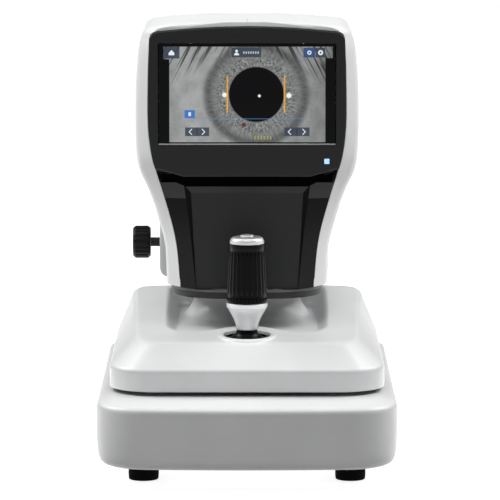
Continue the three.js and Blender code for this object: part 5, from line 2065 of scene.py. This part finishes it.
@dataclass
class Headrest:
    """The fixed upright behind the head: housing halves, arches, bar and pad."""

    y0: float = 150.0
    y1: float = 186.0
    split: float = 168.0
    column: float = 48.0
    low: float = 76.3
    cross: float = 141.0
    top: float = 205.0
    left: float = -85.4
    right: float = 79.0
    corner: float = 10.0
    wall: float = 3.0
    arch_x: float = 101.0
    socket_x: float = 71.0
    tube: float = 4.5
    arch_top: float = 383.0
    bend: float = 30.0

    def build(self) -> None:
        """Builds and dresses every piece of the headrest."""
        self._housing()
        self._arches()
        bar = softened("forehead_bar", "brow_bar", 1.6, 3)
        dress(bar, WHITE_METAL, "base", "white_metal", "forehead_bar")
        pad = softened("forehead_pad", "brow_pad", 1.3, 4)
        dress(pad, SILICONE, "base", "silicone_pad", "forehead_pad")

    def _outline(self, inset: float) -> Outline:
        """The housing's outline from the front.

        Args:
            inset: how far inside the outer face it is.

        Returns:
            Points of x and z.
        """
        column, cross = self.column - inset, self.cross + inset
        left, right, top = self.left + inset, self.right - inset, self.top - inset
        low = self.low - (1.0 if inset else 0.0)
        corners = [
            (-column, low, 0.0), (column, low, 0.0), (column, cross, 8.0),
            (right, cross, self.corner), (right, top, 3.0 if not inset else 0.0),
            (left, top, 3.0 if not inset else 0.0), (left, cross, self.corner),
            (-column, cross, 8.0), (-column, low, 0.0),
        ]
        return soft_profile(corners, 6)[:-1]

    def _housing(self) -> None:
        """Builds the two housing halves."""
        shell = extruded("upright", self._outline(0.0), Axis.Y, self.y0, self.y1)
        bevelled(shell, 3.0, 4, 50.0)
        hollow = extruded("hollow", self._outline(self.wall), Axis.Y, self.y0 + self.wall,
                          self.y1 - self.wall)
        cut(shell, hollow)
        bore = turned("bore", [(0, -95), (4.9, -95), (4.9, -50), (0, -50)], (0.0, 165.0, 174.0),
                      Axis.X, 32)
        cut(shell, bore)
        cut(shell, block("slot", (-8.5, 169.4, 157.0), (8.5, self.y1 + 5, self.top + 5)))
        for x in (-self.socket_x, self.socket_x):
            socket = turned("socket", [(0, 185), (4.8, 185), (4.8, 215), (0, 215)],
                            (x, self.split, 0.0), sides=32)
            cut(shell, socket)
        halves = (("front", self.y0 - 5.0, self.split - 0.15), ("rear", self.split + 0.15,
                                                                self.y1 + 5.0))
        for end, low, high in halves:
            piece = share_of(shell, f"{end}_headrest_cover", (-200.0, low, 0.0),
                             (200.0, high, 400.0))
            dress(piece, WHITE_COVER, "base", "white_cover", f"headrest_{end}")
        bpy.data.objects.remove(shell)
        places = [((x, self.y1 - 0.05, z), (0.0, 1.0, 0.0))
                  for x, z in ((-72.0, 152.0), (66.0, 152.0), (-36.0, 90.0), (36.0, 90.0))]
        REPEAT.screws("headrest_screws", places, 2.8, 0.9, 1.3, "base")

    def _arches(self) -> None:
        """Builds the two bent tubes that carry the bar."""
        for side, sign in (("left", -1.0), ("right", 1.0)):
            x = self.arch_x
            knots = [(self.socket_x, 190.0), (self.socket_x, 206.0), (x - 15, 232.0),
                     (x - 5, 250.0), (x, 275.0), (x, 305.0), (x, self.arch_top - self.bend)]
            for step in range(1, 7):
                angle = math.pi / 2 * step / 6
                knots.append((x - self.bend * (1 - math.cos(angle)),
                              self.arch_top - self.bend * (1 - math.sin(angle))))
            path = spline([(sign * a, self.split, b) for a, b in knots], 6)
            arch = swept(f"{side}_arch_tube", path, self.tube, 24)
            dress(arch, WHITE_METAL, "base", "white_metal", f"headrest_arch_{side}")


@dataclass
class ChinRest:
    """The chin cup on its post, and the knob that raises it."""

    cup_bottom: float = 202.3
    cup_top: float = 216.0
    bowl: tuple[float, float, float] = (33.0, 22.0, 10.0)
    cup_y: tuple[float, float] = (188.6, 235.0)
    knob_out: float = -111.6
    knob_width: float = 17.2
    knob_radius: float = 16.0
    knob_flutes: int = 20
    shaft: tuple[float, float] = (165.0, 174.0)

    def build(self) -> None:
        """Builds and dresses the cup and the knob."""
        self._cup()
        self._knob()
        paint_nodes(MILLED, "chin_post")

    def _cup(self) -> None:
        """Builds the cup with its hollow for the chin."""
        front, rear = self.cup_y
        top, middle = self.cup_top, (front + rear) / 2

        def outer(grow: float, z: float) -> Ring:
            return rounded_plan(36.0 + grow, front - grow, rear + grow, 20.0 + grow, z, 0.0, 10, 8)

        def inner(share: float, z: float) -> Ring:
            wide, deep, _ = self.bowl
            ring = []
            for x, y, _ in outer(0.0, z):
                angle = math.atan2((y - middle) / deep, x / wide)
                ring.append((wide * share * math.cos(angle), middle + deep * share * math.sin(angle),
                             z))
            return ring

        rails = [outer(-8.0, self.cup_bottom), outer(-2.0, 205.0), outer(0.0, 210.0),
                 outer(0.0, top), inner(1.0, top)]
        radii = [0.0, 2.0, 3.0, 1.6, 0.8]
        for step in range(1, 9):
            angle = math.pi / 2 * step / 8.5
            rails.append(inner(math.cos(angle), top - self.bowl[2] * 0.8 * math.sin(angle)))
            radii.append(0.0)
        cup = loft("chin_bowl", rounded(rails, radii, 4))
        dress(cup, WHITE_COVER, "chin_rest", "white_cover", "chin_cup")

    def _knob(self) -> None:
        """Builds the knob with its flutes."""
        y, z = self.shaft
        out, width, radius = self.knob_out, self.knob_width, self.knob_radius
        core = turned("knob_core", soft_profile([
            (0.0, out + 0.6, 0), (radius - 4.0, out + 0.6, 0.5), (radius - 3.4, out, 0.4),
            (radius - 1.8, out, 1.2), (radius - 0.9, out + 2.4, 1.0),
            (radius - 0.9, out + width - 2.0, 1.0), (radius - 2.0, out + width, 0.8),
            (0.0, out + width, 0),
        ]), (0.0, y, z), Axis.X, 80)
        dress(core, KNOB_BLACK, "chin_drive", "grip_black", "chin_knob")
        places = around((0.0, 0.0, 0.0), radius - 0.95, self.knob_flutes)
        ribs = REPEAT.repeat("knob_flutes", Detail.RIB, places, 1.5, width / 2 - 1.6, 0.9, KNOB_BLACK)
        turn = Matrix.Rotation(math.pi / 2, 4, "Y")
        shift = Matrix.Translation(Vector((out + width / 2, y, z)) * MM)
        ribs.data.transform(shift @ turn)
        dress(ribs, KNOB_BLACK, "chin_drive", "grip_black")


@dataclass
class Printer:
    """The paper printer behind its door in the base's side."""

    roll: tuple[float, float, float] = (103.0, -30.0, 46.0)

    def build(self) -> None:
        """Dresses the door, the frame, the roll and the platen."""
        door = softened("printer_door", "paper_door", 0.7)
        dress(door, WHITE_COVER, "printer_door", "white_cover", "printer_door")
        chassis = softened("printer_frame", "paper_cradle", 0.4)
        dress(chassis, PAINTED_BLACK, "base", "black_fascia", "printer_frame")
        paint_nodes(ThermalPaper("thermal_paper", self.roll), "paper_roll")
        paint_nodes(RUBBER, "platen_roller")


class PowerPanel:
    """The mains inlet and the rocker switch beside it."""

    def build(self) -> None:
        """Dresses the inlet and the rocker."""
        inlet = softened("inlet_module", "mains_inlet", 0.5)
        dress(inlet, PAINTED_BLACK, "base", "black_fascia", "inlet_module")
        rocker = softened("power_rocker", "rocker_key", 0.6, 3)
        dress(rocker, BLACK_GLOSS, "power_switch", "black_fascia", "power_rocker")


@dataclass
class Studio:
    """A pale floor, soft lights and the camera."""

    target: Point = (0.0, 0.0, 187.0)
    shift_x: float = 2.7
    elevation: float = 7.3
    distance: float = 3600.0
    lens: float = 277.0
    sensor: float = 36.0
    far: float = 200.0
    floor_size: float = 60.0
    floor_z: float = -0.2
    lights: list[tuple[str, Point, float, float]] = field(default_factory=lambda: [
        ("top", (0.0, -450.0, 1450.0), 1000.0, 7.0),
        ("left", (-1100.0, 250.0, 1200.0), 900.0, 17.5),
        ("right", (1100.0, 250.0, 1200.0), 900.0, 17.5),
    ])
    ambient: tuple[float, float] = (0.3, 0.33)
    glow: float = 0.8

    def build(self) -> None:
        """Builds the floor, the lights, the sky and the camera."""
        self._floor()
        self._lamps()
        self._sky()
        self._camera()

    def _floor(self) -> None:
        """Builds a plain pale floor."""
        size = self.floor_size / MM / 2
        corners = [(size * x, size * y, self.floor_z)
                   for x, y in ((-1, -1), (1, -1), (1, 1), (-1, 1))]
        ground = make_object("studio_floor", corners, [[0, 1, 2, 3]])
        ground.data.materials.append(self._paper())
        ground.visible_diffuse = False

    def _paper(self) -> bpy.types.Material:
        """The floor's material, a faintly glowing white paper."""
        shader = Shader("floor_paper")
        cloud = shader.noise(900.0, 1.0)
        return shader.finish(
            Base_Color=shader.mix(cloud, (0.86, 0.86, 0.86), (0.9, 0.9, 0.9)),
            Roughness=1.0,
            Specular_IOR_Level=0.0,
            Emission_Color=(1.0, 1.0, 1.0),
            Emission_Strength=self.glow,
        )

    def _lamps(self) -> None:
        """Builds the area lights."""
        for name, place, size, power in self.lights:
            lamp = bpy.data.lights.new(f"light_{name}", "AREA")
            lamp.shape = "SQUARE"
            lamp.size = size * MM
            lamp.energy = power
            holder = bpy.data.objects.new(lamp.name, lamp)
            holder.location = Vector(place) * MM
            aim = Vector(self.target) - Vector(place)
            holder.rotation_euler = aim.to_track_quat("-Z", "Y").to_euler()
            bpy.context.collection.objects.link(holder)

    def _sky(self) -> None:
        """Builds a pale surround, dimmer in front of the object."""
        world = bpy.data.worlds.new("studio_sky")
        bpy.context.scene.world = world
        world.use_nodes = True
        tree = world.node_tree
        tree.nodes.clear()
        source = add_node(tree, "ShaderNodeTexCoord", {}, {})
        split = add_node(tree, "ShaderNodeSeparateXYZ", {}, {0: source.outputs["Generated"]})
        dim, bright = self.ambient
        ramp = add_node(
            tree, "ShaderNodeMapRange", {"interpolation_type": "SMOOTHSTEP"},
            {"From Min": -0.5, "From Max": 0.5, "To Min": dim, "To Max": bright,
             "Value": split.outputs[1]},
        )
        glow = add_node(tree, "ShaderNodeBackground", {}, {"Strength": ramp})
        add_node(tree, "ShaderNodeOutputWorld", {}, {0: glow})

    def _camera(self) -> None:
        """Builds the camera."""
        data = bpy.data.cameras.new("camera")
        data.lens = self.lens
        data.sensor_width = self.sensor
        data.clip_end = self.far
        camera = bpy.data.objects.new("camera", data)
        bpy.context.collection.objects.link(camera)
        angle = math.radians(self.elevation)
        aim = Vector(self.target) + Vector((self.shift_x, 0.0, 0.0))
        back = Vector((0.0, -math.cos(angle), math.sin(angle)))
        camera.location = (aim + back * self.distance) * MM
        camera.rotation_euler = (-back).to_track_quat("-Z", "Y").to_euler()
        bpy.context.scene.camera = camera
        bpy.context.scene.view_settings.view_transform = "Standard"


def main() -> None:
    """Builds the studio and every assembly in order."""
    logging.basicConfig(level=logging.INFO, format="%(name)s: %(message)s", stream=sys.stdout)
    assemblies = [
        Studio(), BaseAssembly(), StageDrive(), CarriageAssembly(), Joystick(), MeasuringHead(),
        Display(), Optics(), Headrest(), ChinRest(), Printer(), PowerPanel(),
    ]
    for assembly in assemblies:
        assembly.build()
        LOG.info("%s is built", type(assembly).__name__)


if __name__ == "__main__":
    main()
